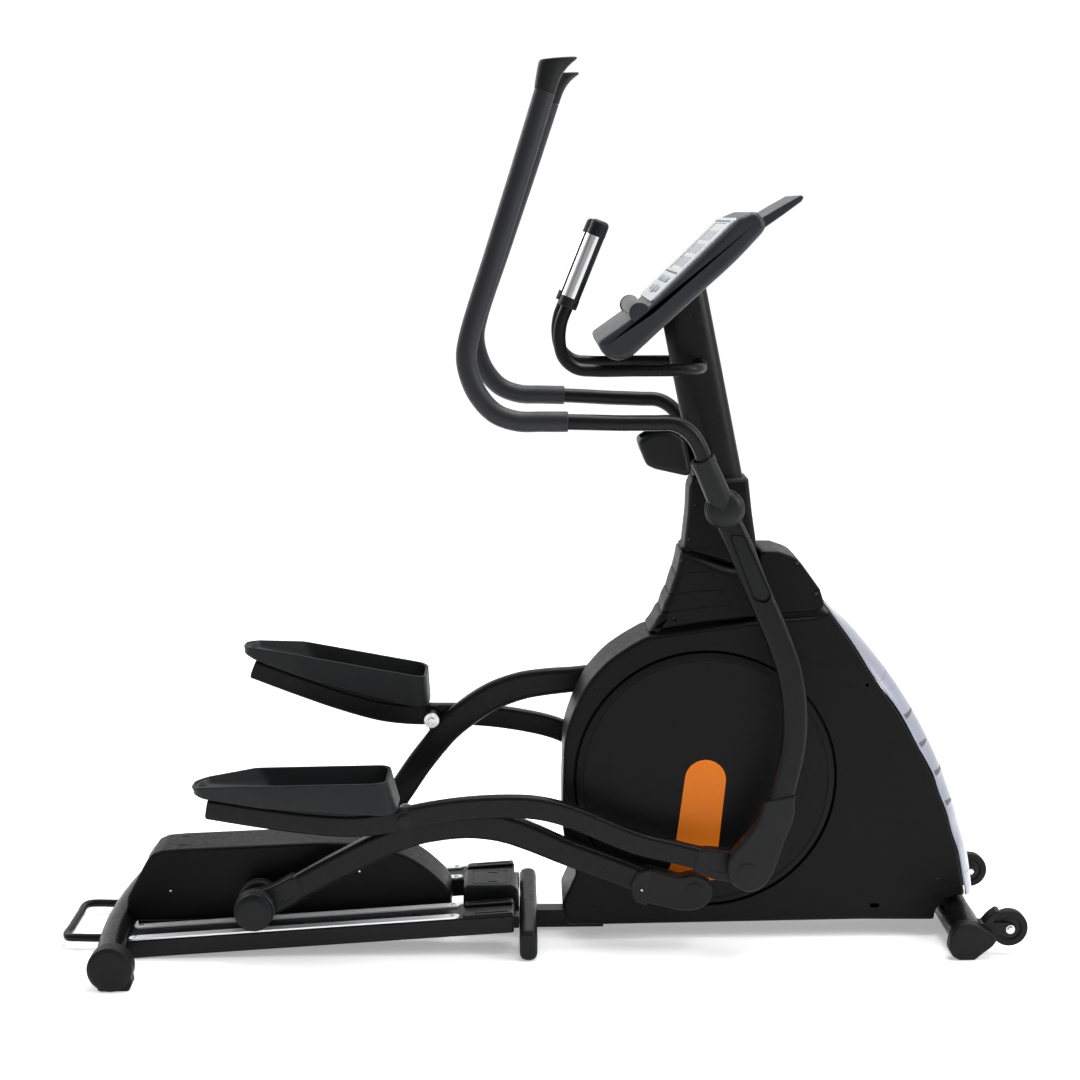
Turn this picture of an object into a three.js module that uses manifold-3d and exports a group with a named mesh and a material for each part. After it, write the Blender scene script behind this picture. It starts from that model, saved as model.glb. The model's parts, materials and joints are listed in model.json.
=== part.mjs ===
// Front-drive elliptical trainer, built as an assembly of separate pieces.
//
// Millimetres, +Z up. +X points to the front of the machine (the drive housing), the user stands on the
// -X side and faces +X, and +Y is the user's left. The origin is the centre of the footprint, on the floor.
// The two legs of the linkage are mirror copies of one design, turned to opposite points of the stride.

import * as THREE from "three";
import { mergeVertices } from "three/addons/utils/BufferGeometryUtils.js";
import Module from "manifold-3d";

const wasm = await Module();
wasm.setup();

// ---------------------------------------------------------------- driving dimensions
const SHIFT_X = 0; // moves the whole machine so that its footprint is centred on the origin
const GAP = 0.35; // between pieces that touch

// crank
const CRANK = [356.3, 356]; // crank axis, X and Z
const CRANK_R = 231; // crank pin circle
const DISC_R = 277; // visible crank disc
const DISC_Y0 = 70; // inner face of the disc
const DISC_Y1 = 86; // outer face of the disc
const AXLE_R = 12;
const PULLEY_R = 150;
const FLYWHEEL = [650, 330]; // flywheel axis, X and Z
const FLYWHEEL_R = 130;
const FLYWHEEL_PULLEY_R = 22;
const IDLER_R = 24;

// rails and rollers
const ROLLER_REST = [-604.4, 103.6]; // right roller axle at rest
const LEFT_TRAVEL = 181.1; // the left roller axle stands this much further forward along X
const RAIL_SLOPE = 0.0603; // rise of the rails towards the front
const ROLLER_R = 42.8;
const TRACK_Y = [94, 164]; // centre lines of the two tracks of a rail
const TRACK_W = 22;
const TRACK_T = 4;
const RAIL_Y0 = 81; // inner and outer side of a rail
const RAIL_Y1 = 176;
const RAIL_DEPTH = 39;
const RAIL_X1 = -57; // front end of the rails
const TRACK_X0 = -873;
const TRACK_X1 = -171;

// linkage
const LINK = 934; // roller axle to crank pin
const RAIL_ARM_Y = [114, 148]; // inner and outer side of the rail arm
const PEDAL_ARM_Y = [153, 182];
const SWING_Y = [187, 216];
const PITCH_RIGHT = 1.41; // degrees above level of the line from roller axle to crank pin
const PITCH_LEFT = 30.28;
const MID_PIVOT = [326, 188]; // pedal arm pivot in the rail arm's own frame
const PEDAL_RIGHT = -8.74; // slope of the pedal arm at rest
const PEDAL_LEFT = -20.28;
const PEDAL_ARM = 724; // pedal arm pivot to the swing arm's lower joint
const SWING_PIVOT = [380, 960];
const SWING_LEFT = 1.2; // the left swing arm leans this much further forward
const SWING_S = [52.5, -770.2]; // lower joint seen from the swing pivot

// stabilizers
const REAR_X = -912;
const REAR_Z = 38;
const REAR_TUBE_R = 30;
const REAR_BOW = 37; // the rear tube's ends come forward by this
const REAR_HALF = 364;
const FRONT_X = 905;
const FRONT_Z = 42;
const FRONT_TUBE_R = 36;
const FRONT_HALF = 233;
const FRONT_CAP = 28; // depth of an end cap
const MID_X = -25;
const MID_HALF = 213;

// housing and mast
const CASE_HALF = 85;
const WALL = 4;
const MAST_LEAN = 0.2; // the mast leans back this much per unit of height
const MAST_A = 52; // half depth of the oval mast
const MAST_B = 31; // half width
const CONSOLE_HALF = 195;

// transport wheels
const WHEEL = [990.5, 58.7];
const WHEEL_R = 39;
const WHEEL_Y = 191;

// ---------------------------------------------------------------- solids
const S = (geo) => {
  const g = (geo.index ? geo.toNonIndexed() : geo.clone());
  g.deleteAttribute("normal");
  g.deleteAttribute("uv");
  const m = mergeVertices(g, 1e-3);
  return new wasm.Manifold(
    new wasm.Mesh({
      numProp: 3,
      vertProperties: new Float32Array(m.attributes.position.array),
      triVerts: new Uint32Array(m.index.array),
    }),
  );
};
const toGeo = (man) => {
  const m = man.getMesh();
  const n = m.numProp;
  const v = new Float32Array(m.numVert * 3);
  for (let i = 0; i < m.numVert; i++) v.set(m.vertProperties.subarray(i * n, i * n + 3), i * 3);
  return new THREE.BufferGeometry()
    .setAttribute("position", new THREE.BufferAttribute(v, 3))
    .setIndex(new THREE.BufferAttribute(new Uint32Array(m.triVerts), 1));
};
const join = (...list) => list.reduce((a, b) => a.add(b));
const cut = (a, ...tools) => tools.reduce((m, t) => m.subtract(t), a);

const box = (x0, x1, y0, y1, z0, z1) =>
  S(
    new THREE.BoxGeometry(x1 - x0, y1 - y0, z1 - z0).translate(
      (x0 + x1) / 2,
      (y0 + y1) / 2,
      (z0 + z1) / 2,
    ),
  );

// area of an X-Z outline, to know which way round it runs
const area = (p) => p.reduce((s, [x, z], i) => {
  const [u, w] = p[(i + 1) % p.length];
  return s + x * w - u * z;
}, 0) / 2;

// an X-Z outline carried along Y from y0 to y1
const plate = (pts, y0, y1) => {
  const list = area(pts) < 0 ? [...pts].reverse() : pts;
  const shape = new THREE.Shape(list.map(([x, z]) => new THREE.Vector2(x, z)));
  const g = new THREE.ExtrudeGeometry(shape, { depth: y1 - y0, bevelEnabled: false, curveSegments: 1 });
  g.rotateX(Math.PI / 2).translate(0, y1, 0);
  return S(g);
};

// the outline moved inwards by d (outwards for a negative d)
const inset = (pts, d) => {
  const p = area(pts) < 0 ? [...pts].reverse() : pts;
  return p.map(([x, z], i) => {
    const a = p[(i + p.length - 1) % p.length];
    const b = p[(i + 1) % p.length];
    const e1 = [x - a[0], z - a[1]];
    const e2 = [b[0] - x, b[1] - z];
    const l1 = Math.hypot(...e1);
    const l2 = Math.hypot(...e2);
    const n1 = [-e1[1] / l1, e1[0] / l1];
    const n2 = [-e2[1] / l2, e2[0] / l2];
    let n = [n1[0] + n2[0], n1[1] + n2[1]];
    const k = Math.max(0.6, (n[0] * n[0] + n[1] * n[1]) / 2);
    n = [n[0] / k, n[1] / k];
    return [x + n[0] * d, z + n[1] * d];
  });
};

const cylY = (x, z, r, y0, y1, seg = 32) =>
  S(new THREE.CylinderGeometry(r, r, y1 - y0, seg).translate(x, (y0 + y1) / 2, z));

// a profile of [radius, y] turned about a lateral axis through x, z
const turn = (profile, x, z, seg = 40) => {
  let a = 0;
  profile.forEach(([r, y], i) => {
    const [s, w] = profile[(i + 1) % profile.length];
    a += r * w - s * y;
  });
  const list = (a < 0 ? [...profile].reverse() : profile).map(([r, y]) => new THREE.Vector2(r, y));
  const closed = list[0].x > 1e-6 || list[list.length - 1].x > 1e-6;
  if (closed) list.push(list[0].clone());
  return S(new THREE.LatheGeometry(list, seg).translate(x, 0, z));
};

const V = (p) => new THREE.Vector3(...p);
const ring = (a, b, n) => {
  const shape = new THREE.Shape();
  for (let i = 0; i < n; i++) {
    const t = (2 * Math.PI * (i + 0.5)) / n;
    if (i) shape.lineTo(a * Math.cos(t), b * Math.sin(t));
    else shape.moveTo(a * Math.cos(t), b * Math.sin(t));
  }
  shape.closePath();
  return shape;
};
const slab = (w, h, c = 5) => {
  // rounded rectangle, w along the lateral axis and h across the bend
  const a = w / 2;
  const b = h / 2;
  const s = new THREE.Shape();
  s.moveTo(-a + c, -b);
  s.lineTo(a - c, -b);
  s.lineTo(a, -b + c);
  s.lineTo(a, b - c);
  s.lineTo(a - c, b);
  s.lineTo(-a + c, b);
  s.lineTo(-a, b - c);
  s.lineTo(-a, -b + c);
  s.closePath();
  return s;
};
// a section carried along a smooth curve through the points
const sweep = (points, shape, steps, tension = 0.5) =>
  S(
    new THREE.ExtrudeGeometry(shape, {
      steps,
      bevelEnabled: false,
      curveSegments: 1,
      extrudePath: new THREE.CatmullRomCurve3(points.map(V), false, "catmullrom", tension),
    }),
  );
const mirrorY = (man) => {
  const m = man.getMesh();
  const n = m.numProp;
  const v = new Float32Array(m.numVert * 3);
  for (let i = 0; i < m.numVert; i++) {
    v[3 * i] = m.vertProperties[i * n];
    v[3 * i + 1] = -m.vertProperties[i * n + 1];
    v[3 * i + 2] = m.vertProperties[i * n + 2];
  }
  const t = new Uint32Array(m.triVerts);
  for (let i = 0; i < t.length; i += 3) [t[i + 1], t[i + 2]] = [t[i + 2], t[i + 1]];
  return new wasm.Manifold(new wasm.Mesh({ numProp: 3, vertProperties: v, triVerts: t }));
};
const arc = (cx, cz, r, a0, a1, n) =>
  Array.from({ length: n + 1 }, (_, i) => {
    const a = ((a0 + ((a1 - a0) * i) / n) * Math.PI) / 180;
    return [cx + r * Math.cos(a), cz + r * Math.sin(a)];
  });

// ---------------------------------------------------------------- materials
const mat = (color, roughness, metalness) => new THREE.MeshStandardMaterial({ color, roughness, metalness });
const PAINT = () => mat(0x161618, 0.42, 0.25);
const CASE = () => mat(0x18181a, 0.6, 0);
const SHIELD = () => mat(0xb4b6c2, 0.35, 0.3);
const TRIM = () => mat(0x2d2f32, 0.65, 0);
const RUBBER = () => mat(0x1b1b1c, 0.85, 0);
const FOAM = () => mat(0x1f2021, 0.9, 0);
const STEEL = () => mat(0xb8bbc0, 0.3, 1);
const ALU = () => mat(0xd6d8da, 0.25, 1);
const CHROME = () => mat(0xdfe1e4, 0.12, 1);
const ORANGE = () => mat(0xdc7314, 0.45, 0);
const RED = () => mat(0xb3121a, 0.4, 0);
const IRON = () => mat(0x4a4b4e, 0.6, 0.8);
const CONSOLE = () => mat(0x383c3f, 0.6, 0);
const FACE = () => mat(0xafb4b6, 0.45, 0);
const BELT = () => mat(0x111112, 0.8, 0);

const root = new THREE.Group();
root.position.x = SHIFT_X;
const add = (name, man, material, parent = root) => {
  const mesh = new THREE.Mesh(toGeo(man), material);
  mesh.name = name;
  parent.add(mesh);
  return mesh;
};
const both = (name, man, material, parent) => {
  add("right_" + name, man, material(), parent);
  add("left_" + name, mirrorY(man), material(), parent);
};

// heights of the tracks' top face
const cosRail = 1 / Math.hypot(1, RAIL_SLOPE);
const trackTop = (x) =>
  ROLLER_REST[1] + RAIL_SLOPE * (x - ROLLER_REST[0]) - (ROLLER_R + 0.3) / cosRail;

// ---------------------------------------------------------------- frame
const bbHousing = cylY(CRANK[0], CRANK[1], 32, -36, 36, 20);
const flyPlate = [[610, 84], [690, 84], [672, 356], [628, 356]];
const idlerAt = (() => {
  // outside the lower run of the belt, at its middle
  const a = [CRANK[0], CRANK[1]];
  const d = [FLYWHEEL[0] - a[0], FLYWHEEL[1] - a[1]];
  const L = Math.hypot(...d);
  const s = (PULLEY_R - FLYWHEEL_PULLEY_R) / L;
  const c = Math.sqrt(1 - s * s);
  const u = [d[0] / L, d[1] / L];
  // unit normal that points out of the lower run
  const n = [u[0] * s + u[1] * c, u[1] * s - u[0] * c];
  const k = PULLEY_R + 5 + IDLER_R + 0.8;
  const m = [a[0] + n[0] * k, a[1] + n[1] * k];
  const t = [-n[1], n[0]];
  return { n, t, c: [m[0] + t[0] * 150, m[1] + t[1] * 150] };
})();
let frame = join(
  box(100, 861, -25, 25, 44, 90),
  box(100, 139, -20, 20, 40, 60),
  box(MID_X + 19 + GAP, 140, -20, 20, 5.5, 44.5),
  box(331, 381, -22, 22, 85, 340),
  bbHousing,
  plate([[334, 362], [378, 350], [480, 640], [436, 640]], -22, 22),
  box(398, 520, -40, 40, 630, 640),
  box(610, 690, -40, 40, 76, 92),
  plate(flyPlate, 34, 40),
  plate(flyPlate, -40, -34),
  box(idlerAt.c[0] - 18, idlerAt.c[0] + 18, -40, 24, 76, 92),
  plate(
    [
      [idlerAt.c[0] - 18, 84],
      [idlerAt.c[0] + 18, 84],
      [idlerAt.c[0] + 13, idlerAt.c[1] + 10],
      [idlerAt.c[0] - 13, idlerAt.c[1] + 10],
    ],
    -40,
    -34,
  ),
  cylY(idlerAt.c[0], idlerAt.c[1], 5, -58, -36, 16),
);
frame = cut(
  frame,
  cylY(CRANK[0], CRANK[1], AXLE_R + 0.6, -60, 60, 20),
  cylY(FLYWHEEL[0], FLYWHEEL[1], 8.5, 30, 44, 20),
  cylY(FLYWHEEL[0], FLYWHEEL[1], 14.5, -44, -30, 20),
);
add("main_frame", frame, PAINT());

// mast: oval tube, leaning back towards the user
const mastX = (z) => SWING_PIVOT[0] + 14 - MAST_LEAN * (z - SWING_PIVOT[1]);
const mastDir = new THREE.Vector3(-MAST_LEAN, 0, 1).normalize();
const oval = (a, b, z0, z1, seg = 16) => {
  const L = (z1 - z0) / mastDir.z;
  const g = new THREE.CylinderGeometry(1, 1, L, seg);
  g.scale(a, 1, b).rotateX(Math.PI / 2);
  g.rotateY(-Math.atan(MAST_LEAN));
  const zm = (z0 + z1) / 2;
  g.translate(mastX(zm), 0, zm);
  return S(g);
};
// the console's side outline
const consoleLine = [
  [124, 1297], [131, 1279], [144, 1266], [164, 1259], [190, 1265], [265, 1334], [340, 1402], [400, 1455], [455, 1514],
  [461, 1526], [456, 1542], [441, 1557], [409, 1544], [228, 1369], [208, 1371], [186, 1340],
];
const under = [[190, 1265], [455, 1514]];
const underSlope = Math.atan2(under[1][1] - under[0][1], under[1][0] - under[0][0]);
// everything above the console's underside
const aboveUnder = (lift) => {
  const n = [-Math.sin(underSlope), Math.cos(underSlope)];
  const p = [under[0][0] + n[0] * lift, under[0][1] + n[1] * lift];
  const t = [Math.cos(underSlope), Math.sin(underSlope)];
  return plate(
    [
      [p[0] - 400 * t[0], p[1] - 400 * t[1]],
      [p[0] + 800 * t[0], p[1] + 800 * t[1]],
      [p[0] + 800 * t[0] + 500 * n[0], p[1] + 800 * t[1] + 500 * n[1]],
      [p[0] - 400 * t[0] + 500 * n[0], p[1] - 400 * t[1] + 500 * n[1]],
    ],
    -300,
    300,
  );
};
const PULSE = { x: 344, z: 1236, r: 12.7 };
let mast = cut(
  oval(MAST_A, MAST_B, 600, 1560),
  oval(MAST_A - 3, MAST_B - 3, 560, 1600),
  box(0, 900, -100, 100, 500, 640 + GAP),
  aboveUnder(-GAP - 6),
  cylY(SWING_PIVOT[0], SWING_PIVOT[1], 15.8, -60, 60, 20),
  cylY(PULSE.x, PULSE.z, PULSE.r + 0.9, -60, 60, 16),
);
add("mast", mast, PAINT());

// ---------------------------------------------------------------- drive
add("crank_axle", cylY(CRANK[0], CRANK[1], AXLE_R, -DISC_Y0 + GAP, DISC_Y0 - GAP, 20), STEEL());
add(
  "drive_pulley",
  turn(
    [
      [AXLE_R + 0.7, -56], [PULLEY_R, -56], [PULLEY_R, -44], [28, -44], [28, -40], [AXLE_R + 0.7, -40],
    ],
    CRANK[0],
    CRANK[1],
    24,
  ),
  TRIM(),
);
const disc = cut(
  turn(
    [
      [0, DISC_Y0], [DISC_R, DISC_Y0], [DISC_R, DISC_Y1], [0, DISC_Y1],
    ].map(([r, y]) => [r, -y]),
    CRANK[0],
    CRANK[1],
    36,
  ),
  cylY(CRANK[0], CRANK[1], AXLE_R + 0.6, -DISC_Y0 - 0.3, -DISC_Y0 + 5, 20),
);
both("crank_disc", disc, CASE);
// coloured plate on the disc, from its centre towards the crank pin
const plateLine = (pinAngle) => {
  const a = (pinAngle * Math.PI) / 180;
  const u = [Math.cos(a), Math.sin(a)];
  const v = [-u[1], u[0]];
  const local = [
    ...Array.from({ length: 13 }, (_, i) => {
      const t = (Math.PI * i) / 12;
      return [-44 * Math.sin(t), 44 * Math.cos(t)];
    }),
    [150, -46], [196, -50], [214, -58],
    ...Array.from({ length: 7 }, (_, i) => {
      const t = ((-15 + (30 * i) / 6) * Math.PI) / 180;
      return [224 * Math.cos(t), 224 * Math.sin(t)];
    }),
    [214, 58], [196, 50], [150, 46],
  ];
  return local.map(([s, t]) => [CRANK[0] + u[0] * s + v[0] * t, CRANK[1] + u[1] * s + v[1] * t]);
};
const pinAngleRight = (Math.atan2(126.6 - CRANK[1], 329.3 - CRANK[0]) * 180) / Math.PI;
const PLATE_Y = [DISC_Y1 + GAP, DISC_Y1 + 2.5];
add("right_crank_plate", plate(plateLine(pinAngleRight), -PLATE_Y[1], -PLATE_Y[0]), ORANGE());
add("left_crank_plate", plate(plateLine(pinAngleRight + 180), PLATE_Y[0], PLATE_Y[1]), ORANGE());

const [FX, FZ] = FLYWHEEL;
add(
  "flywheel",
  turn(
    [
      [0, -58], [FLYWHEEL_PULLEY_R, -58], [FLYWHEEL_PULLEY_R, -43], [14, -43], [14, -18], [FLYWHEEL_R, -18],
      [FLYWHEEL_R, 18], [8, 18], [8, 44], [0, 44],
    ],
    FX,
    FZ,
    20,
  ),
  IRON(),
);
add(
  "idler_pulley",
  turn([[5.6, -56], [IDLER_R, -56], [IDLER_R, -44], [5.6, -44]], idlerAt.c[0], idlerAt.c[1], 16),
  STEEL(),
);
// poly-V belt round both pulleys
const beltLine = (off) => {
  const d = [FX - CRANK[0], FZ - CRANK[1]];
  const L = Math.hypot(...d);
  const base = (Math.atan2(d[1], d[0]) * 180) / Math.PI;
  const open = (Math.acos((PULLEY_R - FLYWHEEL_PULLEY_R) / L) * 180) / Math.PI;
  return [
    ...arc(CRANK[0], CRANK[1], PULLEY_R + off, base + open, base + 360 - open, 22),
    ...arc(FX, FZ, FLYWHEEL_PULLEY_R + off, base - open, base + open, 8),
  ];
};
add("drive_belt", cut(plate(beltLine(5), -55, -45), plate(beltLine(1), -60, -40)), BELT());
// eddy brake: magnet yoke round the front of the rim
add(
  "brake_magnet",
  join(
    plate([...arc(FX, FZ, 133, -28, 40, 12), ...arc(FX, FZ, 152, 40, -28, 12)], -27, 27),
    plate([[784, 90 + GAP], [816, 90 + GAP], [812, 300], [790, 300]], -20, 20),
  ),
  IRON(),
);

// ---------------------------------------------------------------- housing
const sideLine = [
  [59, 31], [48, 79], [80, 150], [60, 195], [50, 247], [50, 321], [54, 444], [69, 494], [101, 566], [146, 616],
  [188, 645], [231, 669], [350, 684], [469, 700], [525, 705], [589, 709], [618, 722], [668, 650], [714, 576],
  [769, 501], [811, 424], [845, 362], [858, 324], [877, 277], [889, 232], [903, 194], [921, 93], [853, 36], [694, 38],
];
const sideInner = inset(sideLine, WALL);
const recess = cylY(CRANK[0], CRANK[1], DISC_R + 4.5, -CASE_HALF - 2, -DISC_Y0 + 3, 36);
let side = cut(plate(sideLine, -CASE_HALF, -GAP / 2), plate(sideInner, -CASE_HALF + WALL, 5));
side = join(side, cylY(CRANK[0], CRANK[1], DISC_R + 8, -CASE_HALF, -DISC_Y0 + 7, 36));
side = cut(
  side,
  recess,
  cylY(CRANK[0], CRANK[1], 17, -90, -40, 28),
  // the frame tube enters at the bottom rear
  box(30, 200, -21, 21, 0, 46),
  // the mast comes up through the top
  oval(MAST_A + 1, MAST_B + 1, 600, 800),
  // the front stabilizer passes the bottom front corner
  cylY(FRONT_X, FRONT_Z, FRONT_TUBE_R + 14.6, -90, 10, 36),
);
both("side_cover", side, CASE);

// front shield: curved strip that closes the front of the housing
const shieldOut = [
  [629, 716], [661, 688], [757, 570], [800, 502], [838, 438], [871, 364], [893, 304], [917, 225], [927, 192],
  [945, 106], [946, 90],
];
const shieldIn = [
  [925.5, 93], [907, 194.5], [893, 233], [881, 278], [862, 325.5], [849, 364], [815, 426], [773, 503.5], [718, 578.5],
  [672, 652.5], [622, 723],
];
let shield = cut(
  plate([...shieldOut, ...shieldIn], -80, 80),
  plate([...inset([...shieldOut, ...shieldIn], 3.5).slice(0, 11), [905, 93], [887, 194.5], [873, 233], [861, 278],
    [842, 325.5], [829, 364], [795, 426], [753, 503.5], [698, 578.5], [652, 652.5], [610, 716]], -76, 76),
);
const SWITCH = [931, 172];
shield = cut(shield, box(910, 950, -11, 11, SWITCH[1] - 15, SWITCH[1] + 15));
add("front_shield", shield, SHIELD());
add(
  "power_switch",
  plate([[917, SWITCH[1] - 13], [933.5, SWITCH[1] - 13], [937, SWITCH[1] + 2], [930, SWITCH[1] + 13], [914, SWITCH[1] + 13]], -9, 9),
  RED(),
);

// top cover with its small tray
const topLine = [
  [467, 704.5], [525, 709], [589, 713.5], [613, 726], [600, 768], [561, 820], [548, 834], [536, 841], [508, 851], [467, 852],
];
let top = cut(
  plate(topLine, -80, 80),
  plate([[471, 690], [525, 690], [589, 690], [606, 727], [594, 766], [558, 815], [534, 828], [508, 833], [471, 833]], -76, 76),
  plate([[485, 838], [533, 836], [560, 860], [485, 870]], -52, 52),
  oval(MAST_A + 1, MAST_B + 1, 600, 900),
);
add("top_cover", top, CASE());

// mast covers
const upperLine = [
  [329, 1001], [321, 982], [319, 928], [311, 856], [303, 852], [405, 815], [464, 810], [466, 856], [455, 930],
  [447, 1001],
];
const lowerLine = [[231, 673], [260, 718], [277, 756], [291, 799], [302, 848.5], [405, 811.5], [463, 806.5], [465, 703.5], [350, 688]];
const mastSleeve = oval(MAST_A + 0.5, MAST_B + 0.5, 560, 1300);
add(
  "mast_cover_upper",
  cut(
    plate(upperLine, -56, 56),
    plate([[332, 997], [325, 982], [323, 928], [315, 856], [305, 780], [468, 780], [462, 856], [451, 930], [444, 997]], -52, 52),
    mastSleeve,
    cylY(SWING_PIVOT[0], SWING_PIVOT[1], 16, -60, 60, 20),
  ),
  CASE(),
);
add(
  "mast_cover_lower",
  cut(
    plate(lowerLine, -72, 72),
    plate([[239, 660], [264, 718], [281, 756], [295, 799], [303, 860], [459, 830], [461, 660]], -68, 68),
    mastSleeve,
  ),
  CASE(),
);

// ---------------------------------------------------------------- console
const consoleShell = cut(
  plate(consoleLine, -CONSOLE_HALF, CONSOLE_HALF),
  plate(
    [[150, 1294], [164, 1283], [184, 1283], [335, 1420], [395, 1474], [432, 1520], [413, 1527], [240, 1362], [205, 1344]],
    -CONSOLE_HALF + 5,
    CONSOLE_HALF - 5,
  ),
  // way in for the mast's cable
  oval(30, 18, 1330, 1440, 20),
);
add("console_body", consoleShell, CONSOLE());
const faceA = [228, 1369];
const faceB = [409, 1544];
const fl = Math.hypot(faceB[0] - faceA[0], faceB[1] - faceA[1]);
const ft = [(faceB[0] - faceA[0]) / fl, (faceB[1] - faceA[1]) / fl];
const fn = [-ft[1], ft[0]];
const onFace = (s, h) => [faceA[0] + ft[0] * s + fn[0] * h, faceA[1] + ft[1] * s + fn[1] * h];
add(
  "console_screen",
  plate([onFace(8, GAP), onFace(fl - 4, GAP), onFace(fl - 6, 5), onFace(12, 5)], -CONSOLE_HALF + 14, CONSOLE_HALF - 14),
  FACE(),
);
add(
  "reading_rack",
  plate([[462.5, 1528], [466, 1522], [541, 1575], [543, 1586], [534, 1584], [458, 1541.5]], -120, 120),
  CONSOLE(),
);
add(
  "bottle_holder",
  cut(
    plate([[213, 1081], [218, 1060], [232, 1028], [250, 1020], [328, 1002.5], [311, 1087], [262, 1104], [232, 1094]], -50, 50),
    plate([[218.5, 1081], [224, 1060], [238, 1033], [252, 1025], [322.5, 1008.5], [306, 1140], [225, 1140], [216, 1096]], -45, 45),
  ),
  TRIM(),
);

// pulse bar with its two grips
const gripA = [64, -133, 1367];
const gripB = [131, -133, 1531];
const pulseHalf = [
  [64.4, -133, 1368], [52, -133, 1336], [48, -133, 1300], [56, -133, 1264], [82, -133, 1241], [120, -133, 1236],
  [200, -133, 1236], [285, -132, 1236], [325, -116, 1236], [341, -86, 1236], [344, -55, 1236], [344, -20, 1236],
];
const pulse = sweep(
  [...pulseHalf, ...pulseHalf.slice(0, -1).reverse().map(([x, y, z]) => [x, -y, z]).map((p, i) => (i === 0 ? [344, 20, 1236] : p))],
  ring(PULSE.r, PULSE.r, 8),
  28,
);
const rod = (a, b, r, seg = 14, r2 = r) => {
  const A = V(a);
  const B = V(b);
  const L = A.distanceTo(B);
  const g = new THREE.CylinderGeometry(r2, r, L, seg);
  g.applyQuaternion(new THREE.Quaternion().setFromUnitVectors(new THREE.Vector3(0, 1, 0), B.clone().sub(A).normalize()));
  g.translate(...A.clone().add(B).multiplyScalar(0.5).toArray());
  return S(g);
};
add(
  "pulse_bar",
  cut(pulse, rod([64, -133, 1367], [75, -133, 1394], 30), rod([64, 133, 1367], [75, 133, 1394], 30)),
  PAINT(),
);
both("pulse_grip", join(rod([64.2, -133, 1367.6], gripB, 17, 14), rod([70, -133, 1382], [127, -133, 1521], 19.5, 14)), CHROME);

// ---------------------------------------------------------------- pivot axle
add("pivot_axle", cylY(SWING_PIVOT[0], SWING_PIVOT[1], 15, -226, 226, 20), STEEL());

// ---------------------------------------------------------------- stabilizers
const rearCurve = (y) => REAR_X + REAR_BOW * (y / REAR_HALF) ** 2;
const rearPoints = (half, n) =>
  Array.from({ length: n + 1 }, (_, i) => {
    const y = -half + (2 * half * i) / n;
    return [rearCurve(y), y, REAR_Z];
  });
add("rear_stabilizer", sweep(rearPoints(322, 10), ring(REAR_TUBE_R, REAR_TUBE_R, 14), 10), PAINT());
const rearFat = sweep(rearPoints(340, 10), ring(REAR_TUBE_R + 0.8, REAR_TUBE_R + 0.8, 14), 10);
const capX = -875.5;
both(
  "rear_cap",
  cut(
    join(
      turn([[0, -REAR_HALF], [40, -REAR_HALF], [46.4, -357], [46.4, -324], [0, -324]], capX, 46.4, 20),
      plate([[-905, 0], [-838, 0], [-831, 17], [-838, 50], [-890, 60]], -356, -324),
    ),
    rearFat,
    box(-960, -800, -400, -300, -20, 0),
  ),
  RUBBER,
);
// U handle behind the rear stabilizer
const handleTube = sweep(
  [
    [-905, -110, 22], [-950, -110, 22], [-985, -110, 24], [-1008, -109, 25], [-1021, -98, 25], [-1021.4, -60, 25],
    [-1021.4, 0, 25], [-1021.4, 60, 25], [-1021, 98, 25], [-1008, 109, 25], [-985, 110, 24], [-950, 110, 22],
    [-905, 110, 22],
  ],
  ring(8.7, 8.7, 6),
  20,
  0.3,
);
add("rear_handle", cut(handleTube, rearFat, box(-912, -800, -200, 200, 0, 60)), PAINT());

const frontCap = [
  [856, 25], [860, 50], [868, 68], [880, 78], [896, 81], [916, 76], [937, 64], [954, 51], [957, 42], [949, 29],
  [930, 15], [912, 0], [880, 0], [866, 8],
];
both("front_cap", plate(frontCap, -FRONT_HALF, -FRONT_HALF + FRONT_CAP - GAP), RUBBER);

// middle stabilizer: flat oval bar across the machine
const capsule = [
  ...arc(MID_X, 47, 19, 0, 180, 8),
  ...arc(MID_X, 19, 19, 180, 262, 5),
  ...arc(MID_X, 19, 19, 278, 360, 5),
];
add("middle_stabilizer", plate(capsule, -MID_HALF, MID_HALF), PAINT());

// ---------------------------------------------------------------- rails
const railBottomDrop = TRACK_T + GAP + RAIL_DEPTH;
const railTop = (x) => trackTop(x) - TRACK_T - GAP;
const railSide = [
  [-905, railTop(-905)], [-905, 1], [-860, Math.max(1, trackTop(-860) - railBottomDrop)],
  [RAIL_X1, trackTop(RAIL_X1) - railBottomDrop], [RAIL_X1, railTop(RAIL_X1)],
];
let rail = plate(railSide, -RAIL_Y1, -RAIL_Y0);
rail = cut(
  rail,
  plate(
    [
      [-915, railTop(-915) - 3], [-915, trackTop(-915) - railBottomDrop + 4], [RAIL_X1 - 4, trackTop(RAIL_X1 - 4) - railBottomDrop + 3],
      [RAIL_X1 - 4, railTop(RAIL_X1 - 4) - 3],
    ],
    -RAIL_Y1 + 3,
    -RAIL_Y0 - 3,
  ),
  rearFat,
  box(-960, -890, -200, 0, -10, 100),
);
rail = join(rail, box(RAIL_X1 - 2, MID_X - 19 - GAP, -148, -110, 50, 76));
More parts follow.
